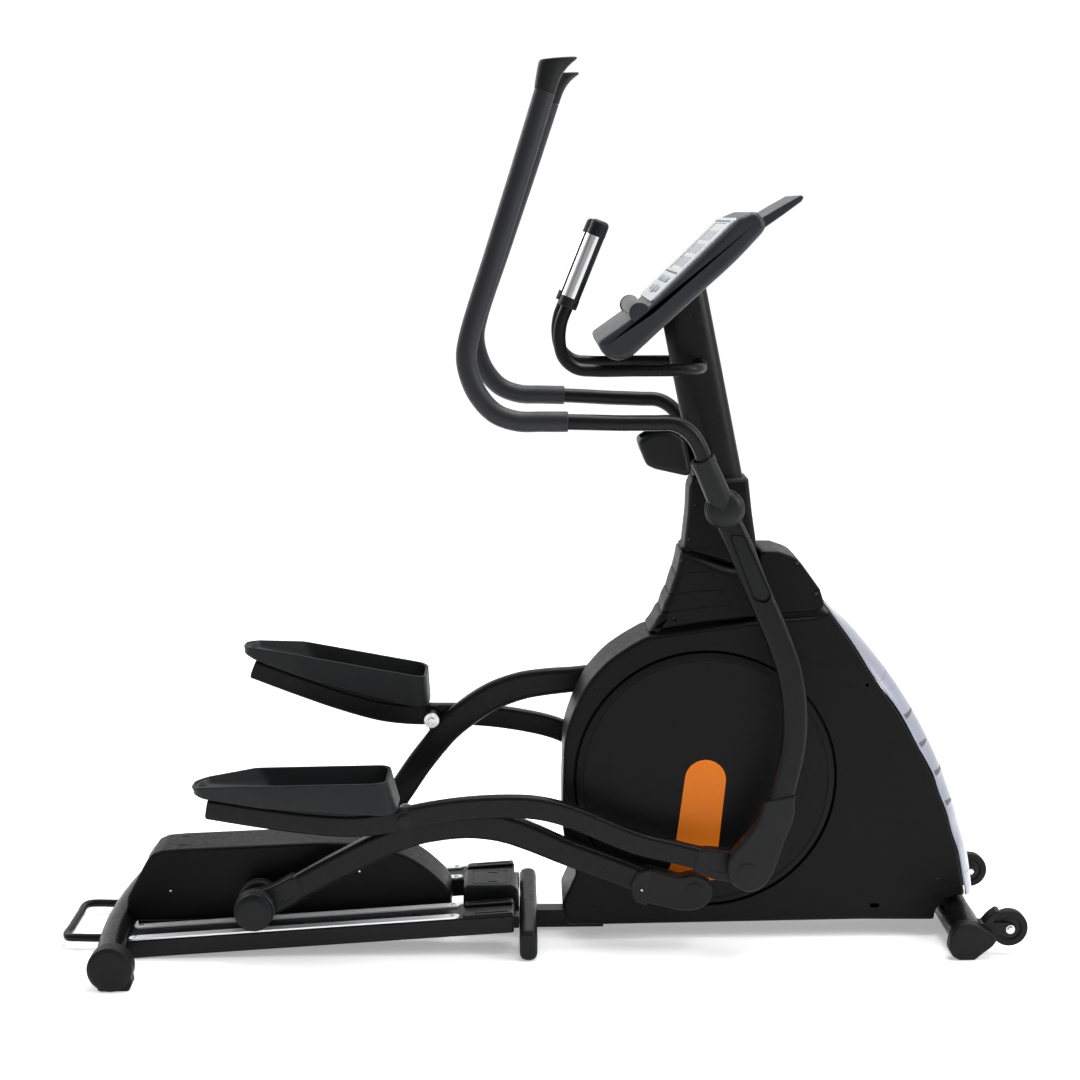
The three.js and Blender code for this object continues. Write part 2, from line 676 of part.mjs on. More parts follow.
// two raised ridges in front of the tracks
const ridge = (y) =>
  plate(
    [
      [TRACK_X1 + 6, railTop(TRACK_X1 + 6) - 2], [TRACK_X1 + 6, railTop(TRACK_X1 + 6) + 6],
      [RAIL_X1, railTop(RAIL_X1) + 6], [RAIL_X1, railTop(RAIL_X1) - 2],
    ],
    y - 13,
    y + 13,
  );
rail = join(rail, ridge(-TRACK_Y[0]), ridge(-TRACK_Y[1]));
both("rail", rail, PAINT);
const track = (y) =>
  plate(
    [
      [TRACK_X0, trackTop(TRACK_X0) - TRACK_T], [TRACK_X1, trackTop(TRACK_X1) - TRACK_T],
      [TRACK_X1, trackTop(TRACK_X1)], [TRACK_X0, trackTop(TRACK_X0)],
    ],
    y - TRACK_W / 2,
    y + TRACK_W / 2,
  );
both("inner_track", track(-TRACK_Y[0]), ALU);
both("outer_track", track(-TRACK_Y[1]), ALU);

// cover between the rails, over the rear spine
const rearCoverLine = [
  [-878, 42], [-897, 70], [-895, 96], [-850, 177], [-838, 193], [-820, 200], [-780, 204], [-616, 210], [-452, 216],
  [-380, 211], [-301, 192], [-248, 160], [-205, 118], [-194, 96], [-192, 60], [-200, 40],
];
add(
  "rear_cover",
  cut(
    plate(rearCoverLine, -62, 62),
    plate([[-877, 20], [-893, 70], [-891, 94], [-846, 173], [-820, 196], [-780, 200], [-616, 206], [-452, 212],
      [-380, 207], [-303, 188], [-251, 157], [-209, 116], [-198, 94], [-196, 60], [-200, 20]], -58, 58),
    sweep(rearPoints(340, 10), ring(REAR_TUBE_R + 1.2, REAR_TUBE_R + 1.2, 14), 10),
  ),
  CASE(),
);
add(
  "centre_cover",
  cut(
    plate([[-166, 42], [-166, 108], [-158, 114], [-60, 114], [-48, 104], [-45, 70], [-45, 42]], -55, 55),
    plate([[-162, 30], [-162, 107], [-157, 110], [-62, 110], [-52, 103], [-49, 69], [-49, 30]], -51, 51),
  ),
  CASE(),
);
// spine under the covers, from the rear stabilizer to the middle one
add("spine_beam", box(-880, MID_X - 19 - GAP, -25, 25, 12, 40), PAINT());

// ---------------------------------------------------------------- transport wheels
for (const [side, s] of [["right", -1], ["left", 1]]) {
  const y0 = s * WHEEL_Y;
  add(
    side + "_transport_wheel",
    turn(
      [
        [6.8, y0 - 12], [WHEEL_R, y0 - 12], [WHEEL_R, y0 + 12], [6.8, y0 + 12],
      ],
      WHEEL[0],
      WHEEL[1],
      20,
    ),
    RUBBER(),
  );
}
const bracket = join(
  plate([[933, 50], [990, 50], [1000, 58], [990, 69], [960, 72], [936, 72]], -WHEEL_Y + 13, -WHEEL_Y + 17),
  plate([[933, 50], [990, 50], [1000, 58], [990, 69], [960, 72], [936, 72]], -WHEEL_Y - 17, -WHEEL_Y - 13),
  cylY(WHEEL[0], WHEEL[1], 6, -WHEEL_Y - 19, -WHEEL_Y + 19, 12),
  // saddle on the stabilizer tube
  plate([[926, 40], [949, 40], [949, 74], [926, 74]], -WHEEL_Y - 17, -WHEEL_Y + 17),
);
const bracketCut = cut(bracket, plate(inset(frontCap, -0.6), -FRONT_HALF - 2, -FRONT_HALF + FRONT_CAP));
add(
  "front_stabilizer",
  join(cylY(FRONT_X, FRONT_Z, FRONT_TUBE_R, -FRONT_HALF + FRONT_CAP, FRONT_HALF - FRONT_CAP, 20), bracketCut, mirrorY(bracketCut)),
  PAINT(),
);

// ---------------------------------------------------------------- linkage, drawn for the right side in each piece's own frame
const armMid = -(RAIL_ARM_Y[0] + RAIL_ARM_Y[1]) / 2;
const armW = RAIL_ARM_Y[1] - RAIL_ARM_Y[0];
// rail arm: origin at the roller axle, +X towards the crank pin
const railArm = cut(
  join(
    sweep(
      [
        [0, armMid, 0], [40, armMid, 9], [81, armMid, 30], [138, armMid, 60], [195, armMid, 88], [245, armMid, 112],
        [300, armMid, 134], [345, armMid, 150], [393, armMid, 159], [440, armMid, 163], [485, armMid, 161],
        [540, armMid, 149], [590, armMid, 129], [655, armMid, 98], [740, armMid, 62], [847, armMid, 14],
        [880, armMid, 4],
      ],
      slab(armW - 2, 56, 8),
      12,
    ),
    cylY(0, 0, 30, -RAIL_ARM_Y[1], -RAIL_ARM_Y[0], 20),
    cylY(LINK, 0, 41, -RAIL_ARM_Y[1], -RAIL_ARM_Y[0], 24),
    plate([[800, -12], [905, -40], [934, -41], [934, 41], [900, 30], [842, 52], [812, 40]], -RAIL_ARM_Y[1], -RAIL_ARM_Y[0]),
    cylY(LINK, 0, 16, -RAIL_ARM_Y[0] - 2, -DISC_Y1 - 4, 16),
    cylY(MID_PIVOT[0], MID_PIVOT[1], 17, -RAIL_ARM_Y[1], -RAIL_ARM_Y[0], 16),
    plate([[312, 150], [340, 150], [338, 190], [314, 190]], -RAIL_ARM_Y[1] + 4, -RAIL_ARM_Y[0] - 4),
  ),
  cylY(0, 0, 12.6, -200, -50, 20),
  cylY(MID_PIVOT[0], MID_PIVOT[1], 10.6, -200, -50, 16),
);
// pedal arm: origin at its pivot, +X towards the swing arm
const pedMid = -(PEDAL_ARM_Y[0] + PEDAL_ARM_Y[1]) / 2;
const pedalArm = join(
  sweep(
    [
      [-395, pedMid, -27], [-300, pedMid, -22], [-200, pedMid, -20], [-110, pedMid, -14], [-50, pedMid, -4],
      [0, pedMid, 8], [60, pedMid, 24], [130, pedMid, 43], [200, pedMid, 57], [260, pedMid, 64], [310, pedMid, 62],
      [368, pedMid, 51], [430, pedMid, 34], [492, pedMid, 19], [577, pedMid, 10], [660, pedMid, 0], [712, pedMid, 0],
    ],
    slab(PEDAL_ARM_Y[1] - PEDAL_ARM_Y[0] - 1, 44, 8),
    12,
  ),
  cylY(0, 0, 24, -PEDAL_ARM_Y[1], -PEDAL_ARM_Y[0], 20),
  cylY(PEDAL_ARM, 0, 34, -PEDAL_ARM_Y[1], -PEDAL_ARM_Y[0], 20),
  plate([[620, -26], [724, -34], [724, 34], [640, 27]], -PEDAL_ARM_Y[1], -PEDAL_ARM_Y[0]),
  // pivot pin through the rail arm's sleeve, with its washer
  cylY(0, 0, 10, -PEDAL_ARM_Y[0] - 1, -RAIL_ARM_Y[0] + 3, 16),
  cylY(0, 0, 17, -RAIL_ARM_Y[0] + 1, -RAIL_ARM_Y[0] + 5, 16),
  cylY(0, 0, 8, -RAIL_ARM_Y[0] + 4, -RAIL_ARM_Y[0] + 11, 12),
);
// pedal: a shoe tray on top of the arm
const trayOut = [
  [-448, 2], [-440, 16], [-368, 39], [-225, 62], [-82, 85], [-58, 112], [-46, 122], [-32, 118], [-16, 60], [-12, 30],
  [-20, 24], [-80, 15], [-240, 4], [-405, -7], [-440, -6],
];
const trayIn = [
  [-430, 6], [-368, 12], [-240, 13], [-80, 25], [-32, 36], [-40, 80], [-52, 140], [-225, 150], [-460, 150], [-440, 12],
];
const TRAY_Y = [91, 240];
const tray = (() => {
  let t = cut(plate(trayOut, -TRAY_Y[1], -TRAY_Y[0]), plate(trayIn, -TRAY_Y[1] + 9, -TRAY_Y[0] - 9));
  // the plan view tapers to the nose
  const nose = (a, b, c, d) => {
    const shape = new THREE.Shape([a, b, c, d].map(([x, y]) => new THREE.Vector2(x, y)));
    return S(new THREE.ExtrudeGeometry(shape, { depth: 300, bevelEnabled: false }).translate(0, 0, -100));
  };
  t = cut(
    t,
    nose([-470, -260], [-400, -260], [-400, -241], [-470, -205]),
    nose([-470, -126], [-400, -90], [-400, -70], [-470, -70]),
  );
  // seat for the arm
  return cut(
    t,
    sweep(
      [
        [-397, pedMid, -27 + GAP], [-300, pedMid, -22 + GAP], [-200, pedMid, -20 + GAP], [-110, pedMid, -14 + GAP],
        [-50, pedMid, -4 + GAP], [0, pedMid, 8 + GAP], [60, pedMid, 24 + GAP],
      ],
      slab(PEDAL_ARM_Y[1] - PEDAL_ARM_Y[0] + 1, 46, 8),
      14,
    ),
    cylY(0, 0, 25, -PEDAL_ARM_Y[1] - 1, -PEDAL_ARM_Y[0] + 1, 28),
  );
})();
// swing arm: origin at the mast pivot
const swY = -(SWING_Y[0] + SWING_Y[1]) / 2;
const [SX, SZ] = SWING_S;
const swingArm = (() => {
  const lower = sweep(
    [
      [4, swY, -18], [31, swY, -73], [67, swY, -165], [106, swY, -255], [135, swY, -335], [149, swY, -413],
      [149, swY, -495], [133, swY, -577], [117, swY, -640], [88, swY, -715],
    ],
    slab(SWING_Y[1] - SWING_Y[0] - 1, 49, 8),
    10,
  );
  const boot = plate(
    [
      [88, -622], [151, -610], [150, -640], [143, -668], [129, -702], [118, -740], [106, -770], [88, -800],
      [60, -812], [30, -800], [14, -775], [14, -745], [27, -722], [40, -705], [62, -678], [76, -655],
    ],
    -SWING_Y[1],
    -SWING_Y[0],
  );
  const handle = sweep(
    [
      [-14, -226, 24], [-22, -228, 50], [-35, -233, 82], [-44, -236, 104], [-56, -240, 134], [-76, -244, 161],
      [-106, -248, 178], [-149, -252, 180], [-215, -257, 181], [-318, -262, 185],
    ],
    ring(16, 16, 8),
    12,
  );
  const body = join(
    lower,
    boot,
    cylY(SX, SZ, 40, -SWING_Y[1], -SWING_Y[0], 20),
    turn([[0, -240], [24, -238], [37.5, -229], [37.5, -SWING_Y[0]], [0, -SWING_Y[0]]], 0, 0, 20),
    rod([-6, -215, 10], [-45, -231, 98], 24.5, 16),
    handle,
  );
  return cut(body, cylY(0, 0, 15.8, -230, -100, 20));
})();
// foam grip over the upper handle, with its flared end
const gripLine = [
  [-320.5, -262, 185], [-370, -262, 185.5], [-420, -262, 187], [-463, -262, 203], [-496, -262, 239], [-514, -262, 281],
  [-519, -262, 316], [-512, -262, 358], [-462, -262, 513], [-405, -262, 688], [-360, -262, 829], [-337, -262, 872],
];
const grip = cut(
  join(
    sweep(gripLine, ring(20.5, 20.5, 8), 15, 0.4),
    rod([-362, -262, 822], [-318, -262, 922], 21, 14, 36),
  ),
  // the flared end is trimmed nearly level
  plate([[-450, 863], [-200, 904], [-200, 1000], [-450, 1000]], -320, -200),
);

const legs = [
  {
    side: "right", flip: (m) => m, travel: 0, pitch: PITCH_RIGHT, pedal: PEDAL_RIGHT, swing: 0,
  },
  {
    side: "left", flip: mirrorY, travel: LEFT_TRAVEL, pitch: PITCH_LEFT, pedal: PEDAL_LEFT, swing: SWING_LEFT,
  },
];
for (const leg of legs) {
  const { side: n, flip } = leg;
  const rad = THREE.MathUtils.degToRad;
  const R = [ROLLER_REST[0] + leg.travel, ROLLER_REST[1] + leg.travel * RAIL_SLOPE];
  const g = new THREE.Group();
  g.position.set(R[0], 0, R[1]);
  root.add(g);
  const sleeve = 11;
  const [ta, tb] = TRACK_Y;
  add(
    n + "_rollers",
    flip(
      turn(
        [
          [8.6, -ta + 14.5], [ROLLER_R, -ta + 14.5], [ROLLER_R, -ta - 14.5], [sleeve, -ta - 14.5],
          [sleeve, -tb + 14.5], [ROLLER_R, -tb + 14.5], [ROLLER_R, -tb - 14.5], [8.6, -tb - 14.5],
        ],
        0,
        0,
        18,
      ),
    ),
    RUBBER(),
    g,
  );
  add(
    n + "_roller_axle",
    flip(
      join(
        cylY(0, 0, 8, -190, -74, 14),
        cylY(0, 0, 14, -78.8, -74, 14),
        turn([[0, -196], [32, -194], [41.5, -187], [41.5, -180], [0, -180]], 0, 0, 20),
      ),
    ),
    TRIM(),
    g,
  );
  const arm = new THREE.Group();
  arm.position.copy(g.position);
  arm.rotation.y = -rad(leg.pitch);
  root.add(arm);
  add(n + "_rail_arm", flip(railArm), PAINT(), arm);
  const a = rad(leg.pitch);
  const ped = new THREE.Group();
  ped.position.set(
    R[0] + MID_PIVOT[0] * Math.cos(a) - MID_PIVOT[1] * Math.sin(a),
    0,
    R[1] + MID_PIVOT[0] * Math.sin(a) + MID_PIVOT[1] * Math.cos(a),
  );
  ped.rotation.y = -rad(leg.pedal);
  root.add(ped);
  add(n + "_pedal_arm", flip(pedalArm), PAINT(), ped);
  add(n + "_pedal", flip(tray), TRIM(), ped);
  const sw = new THREE.Group();
  sw.position.set(SWING_PIVOT[0], 0, SWING_PIVOT[1]);
  sw.rotation.y = rad(leg.swing);
  root.add(sw);
  add(n + "_swing_arm", flip(swingArm), PAINT(), sw);
  add(n + "_handle_grip", flip(grip), FOAM(), sw);
}

export default root;
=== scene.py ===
import json
import math

import bmesh
import bpy
import numpy as np
from mathutils import Matrix, Vector

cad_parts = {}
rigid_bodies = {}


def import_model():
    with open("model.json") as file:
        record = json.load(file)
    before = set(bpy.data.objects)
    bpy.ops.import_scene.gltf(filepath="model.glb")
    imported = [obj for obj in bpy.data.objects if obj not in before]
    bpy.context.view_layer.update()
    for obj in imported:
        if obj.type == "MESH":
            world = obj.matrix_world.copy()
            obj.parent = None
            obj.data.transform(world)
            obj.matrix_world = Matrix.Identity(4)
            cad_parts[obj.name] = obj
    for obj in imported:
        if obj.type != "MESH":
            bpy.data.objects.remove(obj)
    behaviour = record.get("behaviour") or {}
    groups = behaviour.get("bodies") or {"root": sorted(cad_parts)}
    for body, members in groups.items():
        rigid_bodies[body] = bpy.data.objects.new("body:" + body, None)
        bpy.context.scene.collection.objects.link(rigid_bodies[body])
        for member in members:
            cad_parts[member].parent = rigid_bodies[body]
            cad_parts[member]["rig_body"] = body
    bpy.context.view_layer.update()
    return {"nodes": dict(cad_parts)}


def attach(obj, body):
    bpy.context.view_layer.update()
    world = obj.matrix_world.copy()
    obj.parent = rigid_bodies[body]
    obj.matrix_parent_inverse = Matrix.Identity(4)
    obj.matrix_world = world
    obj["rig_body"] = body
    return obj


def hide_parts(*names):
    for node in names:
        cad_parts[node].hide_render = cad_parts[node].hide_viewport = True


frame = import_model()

NODES = frame["nodes"]
BODY = {n: o["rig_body"] for n, o in NODES.items()}

# ------------------------------------------------------------------ shapes, in millimetres


class G:
    """Points and faces of a piece, in millimetres."""

    def __init__(self, v=(), f=()):
        self.v = [tuple(float(x) for x in p) for p in v]
        self.f = [tuple(q) for q in f]

    def add(self, *others):
        for o in others:
            n = len(self.v)
            self.v += o.v
            self.f += [tuple(i + n for i in q) for q in o.f]
        return self


def join(*gs):
    out = G()
    out.add(*gs)
    return out


def moved(g, m):
    if not isinstance(m, Matrix):
        m = Matrix.Translation(Vector(m))
    out = G()
    out.v = [tuple(m @ Vector(p)) for p in g.v]
    out.f = list(g.f)
    if m.to_3x3().determinant() < 0:
        out.f = [tuple(reversed(q)) for q in out.f]
    return out


def mirrored(g):
    return moved(g, Matrix.Scale(-1, 4, (0, 1, 0)))


def rnd(pts, r=4.0, k=5, closed=True):
    """Rounds a polyline's corners. r is one radius or one for each corner, and a large one runs the corners into a curve."""
    pts = [np.array(p, float) for p in pts]
    n = len(pts)
    out = []
    for i, b in enumerate(pts):
        ri = r[i] if hasattr(r, "__len__") else r
        if (not closed and i in (0, n - 1)) or ri <= 0:
            out.append(b)
            continue
        a, c = pts[i - 1], pts[(i + 1) % n]
        u, w = a - b, c - b
        lu, lw = np.linalg.norm(u), np.linalg.norm(w)
        if lu < 1e-9 or lw < 1e-9:
            continue
        u, w = u / lu, w / lw
        ang = math.acos(max(-1.0, min(1.0, float(u @ w))))
        if ang > math.pi - 0.01:
            out.append(b)
            continue
        t = min(ri / math.tan(ang / 2), 0.49 * lu, 0.49 * lw)
        for j in range(k + 1):
            s = j / k
            out.append((1 - s) ** 2 * (b + u * t) + 2 * s * (1 - s) * b + s * s * (b + w * t))
    return [tuple(p) for p in out]


def dense(pts, step, closed=True):
    """Adds points so that no side is longer than step."""
    out = []
    n = len(pts)
    for i in range(n if closed else n - 1):
        a, b = np.array(pts[i], float), np.array(pts[(i + 1) % n], float)
        m = max(1, int(math.ceil(np.linalg.norm(b - a) / step)))
        out += [tuple(a + (b - a) * j / m) for j in range(m)]
    if not closed:
        out.append(tuple(pts[-1]))
    return out


def inset(pts, d):
    p = np.array(pts, float)
    q, s = np.roll(p, 1, 0), np.roll(p, -1, 0)
    area = float(np.sum(p[:, 0] * s[:, 1] - s[:, 0] * p[:, 1]))
    sign = 1 if area > 0 else -1
    e0, e1 = p - q, s - p
    e0 /= np.maximum(np.linalg.norm(e0, axis=1), 1e-9)[:, None]
    e1 /= np.maximum(np.linalg.norm(e1, axis=1), 1e-9)[:, None]
    n0 = np.stack([-e0[:, 1], e0[:, 0]], 1) * sign
    n1 = np.stack([-e1[:, 1], e1[:, 0]], 1) * sign
    m = (n0 + n1) / np.maximum(1 + np.sum(n0 * n1, 1), 0.35)[:, None]
    out = p + m * d
    # a corner tighter than the inset closes to a point instead of crossing itself
    n = len(p)
    for _ in range(12):
        bad = np.sum((s - p) * (np.roll(out, -1, 0) - out), 1) < -1e-9
        if not bad.any() or bad.all():
            break
        start = int(np.argmin(bad))
        i = 0
        while i < n:
            a = (start + i) % n
            if bad[a]:
                run = [a]
                while bad[run[-1]]:
                    run.append((run[-1] + 1) % n)
                out[run] = out[run].mean(axis=0)
                i += len(run)
            else:
                i += 1
    return [tuple(x) for x in out]


def skin(rings, around=True, ends=True):
    n = len(rings[0])
    v = [p for r in rings for p in r]
    f = []
    for k in range(len(rings) - 1):
        for i in range(n if around else n - 1):
            j = (i + 1) % n
            f.append((k * n + i, k * n + j, (k + 1) * n + j, (k + 1) * n + i))
    if ends:
        f.append(tuple(reversed(range(n))))
        f.append(tuple((len(rings) - 1) * n + i for i in range(n)))
    return G(v, f)


def plate(pts, y0, y1, b=1.0, b1=None, k=4, loop=0.0):
    """An X-Z outline from y0 to y1, its two edges rounded by b and b1."""
    b1 = b if b1 is None else b1
    layers = []
    if b > 0:
        for j in range(k + 1):
            a = math.pi / 2 * (1 - j / k)
            layers.append((y0 + b * (1 - math.sin(a)), b * (1 - math.cos(a))))
    else:
        layers.append((y0, 0))
    if b1 > 0:
        for j in range(k + 1):
            a = math.pi / 2 * j / k
            layers.append((y1 - b1 * (1 - math.sin(a)), b1 * (1 - math.cos(a))))
    else:
        layers.append((y1, 0))
    if loop > 0:
        # a flat band just inside each rounded edge keeps the broad faces evenly shaded
        layers = [(layers[0][0], layers[0][1] + loop)] + layers + [(layers[-1][0], layers[-1][1] + loop)]
    rings = []
    for y, d in layers:
        q = inset(pts, d) if d > 1e-6 else pts
        rings.append([(x, y, z) for x, z in q])
    return skin(rings)


def box(x0, x1, y0, y1, z0, z1, b=1.0):
    return plate(rnd([(x0, z0), (x1, z0), (x1, z1), (x0, z1)], b * 1.5 + 0.02, 3), y0, y1, b, k=3)


def lathe(profile, seg=64, at=(0, 0)):
    """Turns a profile of (radius, y) about the lateral axis through at. The profile starts and ends on the axis or closes on itself."""
    p = [(max(0.0, float(r)), float(y)) for r, y in profile]
    on_axis = p[0][0] < 1e-6 and p[-1][0] < 1e-6
    v, f, index = [], [], []
    for r, y in p:
        if r < 1e-6:
            index.append([len(v)] * seg)
            v.append((at[0], y, at[1]))
        else:
            index.append(list(range(len(v), len(v) + seg)))
            for i in range(seg):
                a = 2 * math.pi * i / seg
                v.append((at[0] + r * math.cos(a), y, at[1] + r * math.sin(a)))
    m = len(p)
    for k in range(m - 1 if on_axis else m):
        a, b = index[k], index[(k + 1) % m]
        for i in range(seg):
            j = (i + 1) % seg
            q = []
            for x in (a[i], a[j], b[j], b[i]):
                if x not in q:
                    q.append(x)
            if len(q) > 2:
                f.append(tuple(q))
    return G(v, f)


def turn(profile, r=2.0, at=(0, 0), seg=64, closed=False, k=4):
    return lathe(rnd(profile, r, k, closed), seg, at)


def cyl(x, z, r, y0, y1, b=0.6, seg=32):
    return lathe([(0, y0)] + rnd([(0, y0), (r, y0), (r, y1), (0, y1)], b, 3, False)[1:-1] + [(0, y1)], seg, (x, z))


def circle(r, n=32, r2=None):
    r2 = r if r2 is None else r2
    return [(r * math.cos(2 * math.pi * i / n), r2 * math.sin(2 * math.pi * i / n)) for i in range(n)]


def rrect(w, h, r, k=5):
    """Rounded rectangle, w along the side direction and h along the other."""
    r = min(r, w / 2 - 0.01, h / 2 - 0.01)
    out = []
    for cx, cy, a0 in ((w / 2 - r, h / 2 - r, 0), (-w / 2 + r, h / 2 - r, 90), (-w / 2 + r, -h / 2 + r, 180), (w / 2 - r, -h / 2 + r, 270)):
        for j in range(k + 1):
            a = math.radians(a0 + 90 * j / k)
            out.append((cx + r * math.cos(a), cy + r * math.sin(a)))
    return out


def curve(pts, n):
    """A smooth line through pts, n + 1 evenly spaced points."""
    p = [np.array(q, float) for q in pts]
    p = [2 * p[0] - p[1]] + p + [2 * p[-1] - p[-2]]
    out = []
    for i in range(1, len(p) - 2):
        p0, p1, p2, p3 = p[i - 1 : i + 3]
        t0 = 0.0
        t1 = t0 + max(np.linalg.norm(p1 - p0), 1e-6) ** 0.5
        t2 = t1 + max(np.linalg.norm(p2 - p1), 1e-6) ** 0.5
        t3 = t2 + max(np.linalg.norm(p3 - p2), 1e-6) ** 0.5
        for j in range(24):
            t = t1 + (t2 - t1) * j / 24
            a1 = (t1 - t) / (t1 - t0) * p0 + (t - t0) / (t1 - t0) * p1
            a2 = (t2 - t) / (t2 - t1) * p1 + (t - t1) / (t2 - t1) * p2
            a3 = (t3 - t) / (t3 - t2) * p2 + (t - t2) / (t3 - t2) * p3
            b1 = (t2 - t) / (t2 - t0) * a1 + (t - t0) / (t2 - t0) * a2
            b2 = (t3 - t) / (t3 - t1) * a2 + (t - t1) / (t3 - t1) * a3
            out.append((t2 - t) / (t2 - t1) * b1 + (t - t1) / (t2 - t1) * b2)
    out.append(p[-2])
    out = np.array(out)
    s = np.concatenate([[0], np.cumsum(np.linalg.norm(np.diff(out, axis=0), axis=1))])
    at = np.linspace(0, s[-1], n + 1)
    return [np.array([np.interp(x, s, out[:, c]) for c in range(out.shape[1])]) for x in at]


def sweep(pts, section, n=60, ends=(0, 0), smooth=True):
    """A section swept along a line. section is a list of (side, up) or a function of the share of the way along. ends are the end rounding radii."""
    p = curve(pts, n) if smooth else [np.array(q, float) for q in pts]
    n = len(p) - 1
    tan = []
    for i in range(n + 1):
        d = p[min(i + 1, n)] - p[max(i - 1, 0)]
        tan.append(d / np.linalg.norm(d))
    side = np.array([0.0, -1.0, 0.0])
    if abs(tan[0][1]) > 0.9:
        side = np.array([1.0, 0.0, 0.0])
    frames = []
    for t in tan:
        side = side - (side @ t) * t
        side = side / np.linalg.norm(side)
        frames.append((side.copy(), np.cross(t, side)))
    rings = []

    def ring(i, k, out):
        s, u = frames[i]
        sec = section(i / n) if callable(section) else section
        c = p[i] + tan[i] * out
        return [tuple(c + s * a * k + u * b * k) for a, b in sec]

    def rounded(i, r, sign):
        sec = section(i / n) if callable(section) else section
        half = max(1e-6, min(max(abs(a) for a, _ in sec), max(abs(b) for _, b in sec)))
        got = []
        for j in range(1, 6):
            a = math.pi / 2 * j / 5
            got.append(ring(i, 1 - min(r, half * 0.98) / half * (1 - math.cos(a)), sign * r * math.sin(a)))
        return got

    if ends[0] > 0:
        rings += list(reversed(rounded(0, ends[0], -1)))
    rings += [ring(i, 1, 0) for i in range(n + 1)]
    if ends[1] > 0:
        rings += rounded(n, ends[1], 1)
    return skin(rings)


def rod(a, b, r, r2=None, ends=(1, 1), seg=40, n=2):
    r2 = r if r2 is None else r2
    a, b = np.array(a, float), np.array(b, float)
    line = [tuple(a + (b - a) * i / n) for i in range(n + 1)]
    return sweep(line, lambda t: circle(r + (r2 - r) * t, seg), smooth=False, ends=ends)


def to_mesh(g, scale=1.0):
    me = bpy.data.meshes.new("tmp")
    me.from_pydata([tuple(c * scale for c in p) for p in g.v], [], g.f)
    bm = bmesh.new()
    bm.from_mesh(me)
    bmesh.ops.remove_doubles(bm, verts=bm.verts, dist=1e-4 * scale)
    bmesh.ops.dissolve_degenerate(bm, dist=1e-5 * scale, edges=bm.edges)
    bmesh.ops.recalc_face_normals(bm, faces=bm.faces)
    bm.to_mesh(me)
    bm.free()
    return me


def boolean(op, base, *others):
    """Joins or cuts closed shapes one after another, and returns the result."""
    out = base
    for other in others:
        got = None
        for tolerant in (False, True):
            objects = []
            for i, g in enumerate((out, other)):
                o = bpy.data.objects.new("tmp%d" % i, to_mesh(g))
                bpy.context.scene.collection.objects.link(o)
                objects.append(o)
            m = objects[0].modifiers.new("b", "BOOLEAN")
            m.operation = op
            m.solver = "EXACT"
            m.object = objects[1]
            m.use_self = tolerant
            m.use_hole_tolerant = tolerant
            dg = bpy.context.evaluated_depsgraph_get()
            me = bpy.data.meshes.new_from_object(objects[0].evaluated_get(dg))
            got = G([tuple(v.co) for v in me.vertices], [tuple(p.vertices) for p in me.polygons])
            for o in objects:
                d = o.data
                bpy.data.objects.remove(o)
                bpy.data.meshes.remove(d)
            bpy.data.meshes.remove(me)
            if len(got.f) > 0.3 * len(out.f):
                break
        if len(got.f) <= 0.3 * len(out.f):
            raise RuntimeError("a boolean came out empty")
        out = got
    return out


def cut(base, *tools):
    return boolean("DIFFERENCE", base, *tools)


def fuse(base, *others):
    return boolean("UNION", base, *others)


# ------------------------------------------------------------------ materials


def node(nt, kind, **values):
    n = nt.nodes.new(kind)
    for k, v in values.items():
        if k in n.inputs:
            n.inputs[k].default_value = v
        else:
            setattr(n, k, v)
    return n


def base_material(name, **sockets):
    m = bpy.data.materials.new(name)
    m.use_nodes = True
    nt = m.node_tree
    bsdf = nt.nodes["Principled BSDF"]
    for k, v in sockets.items():
        bsdf.inputs[k.replace("_", " ")].default_value = v
    return m, nt, bsdf


def ramp(nt, source, lo, hi, out_lo, out_hi):
    r = node(nt, "ShaderNodeMapRange")
    r.inputs["From Min"].default_value = lo
    r.inputs["From Max"].default_value = hi
    r.inputs["To Min"].default_value = out_lo
    r.inputs["To Max"].default_value = out_hi
    nt.links.new(source, r.inputs["Value"])
    return r.outputs["Result"]


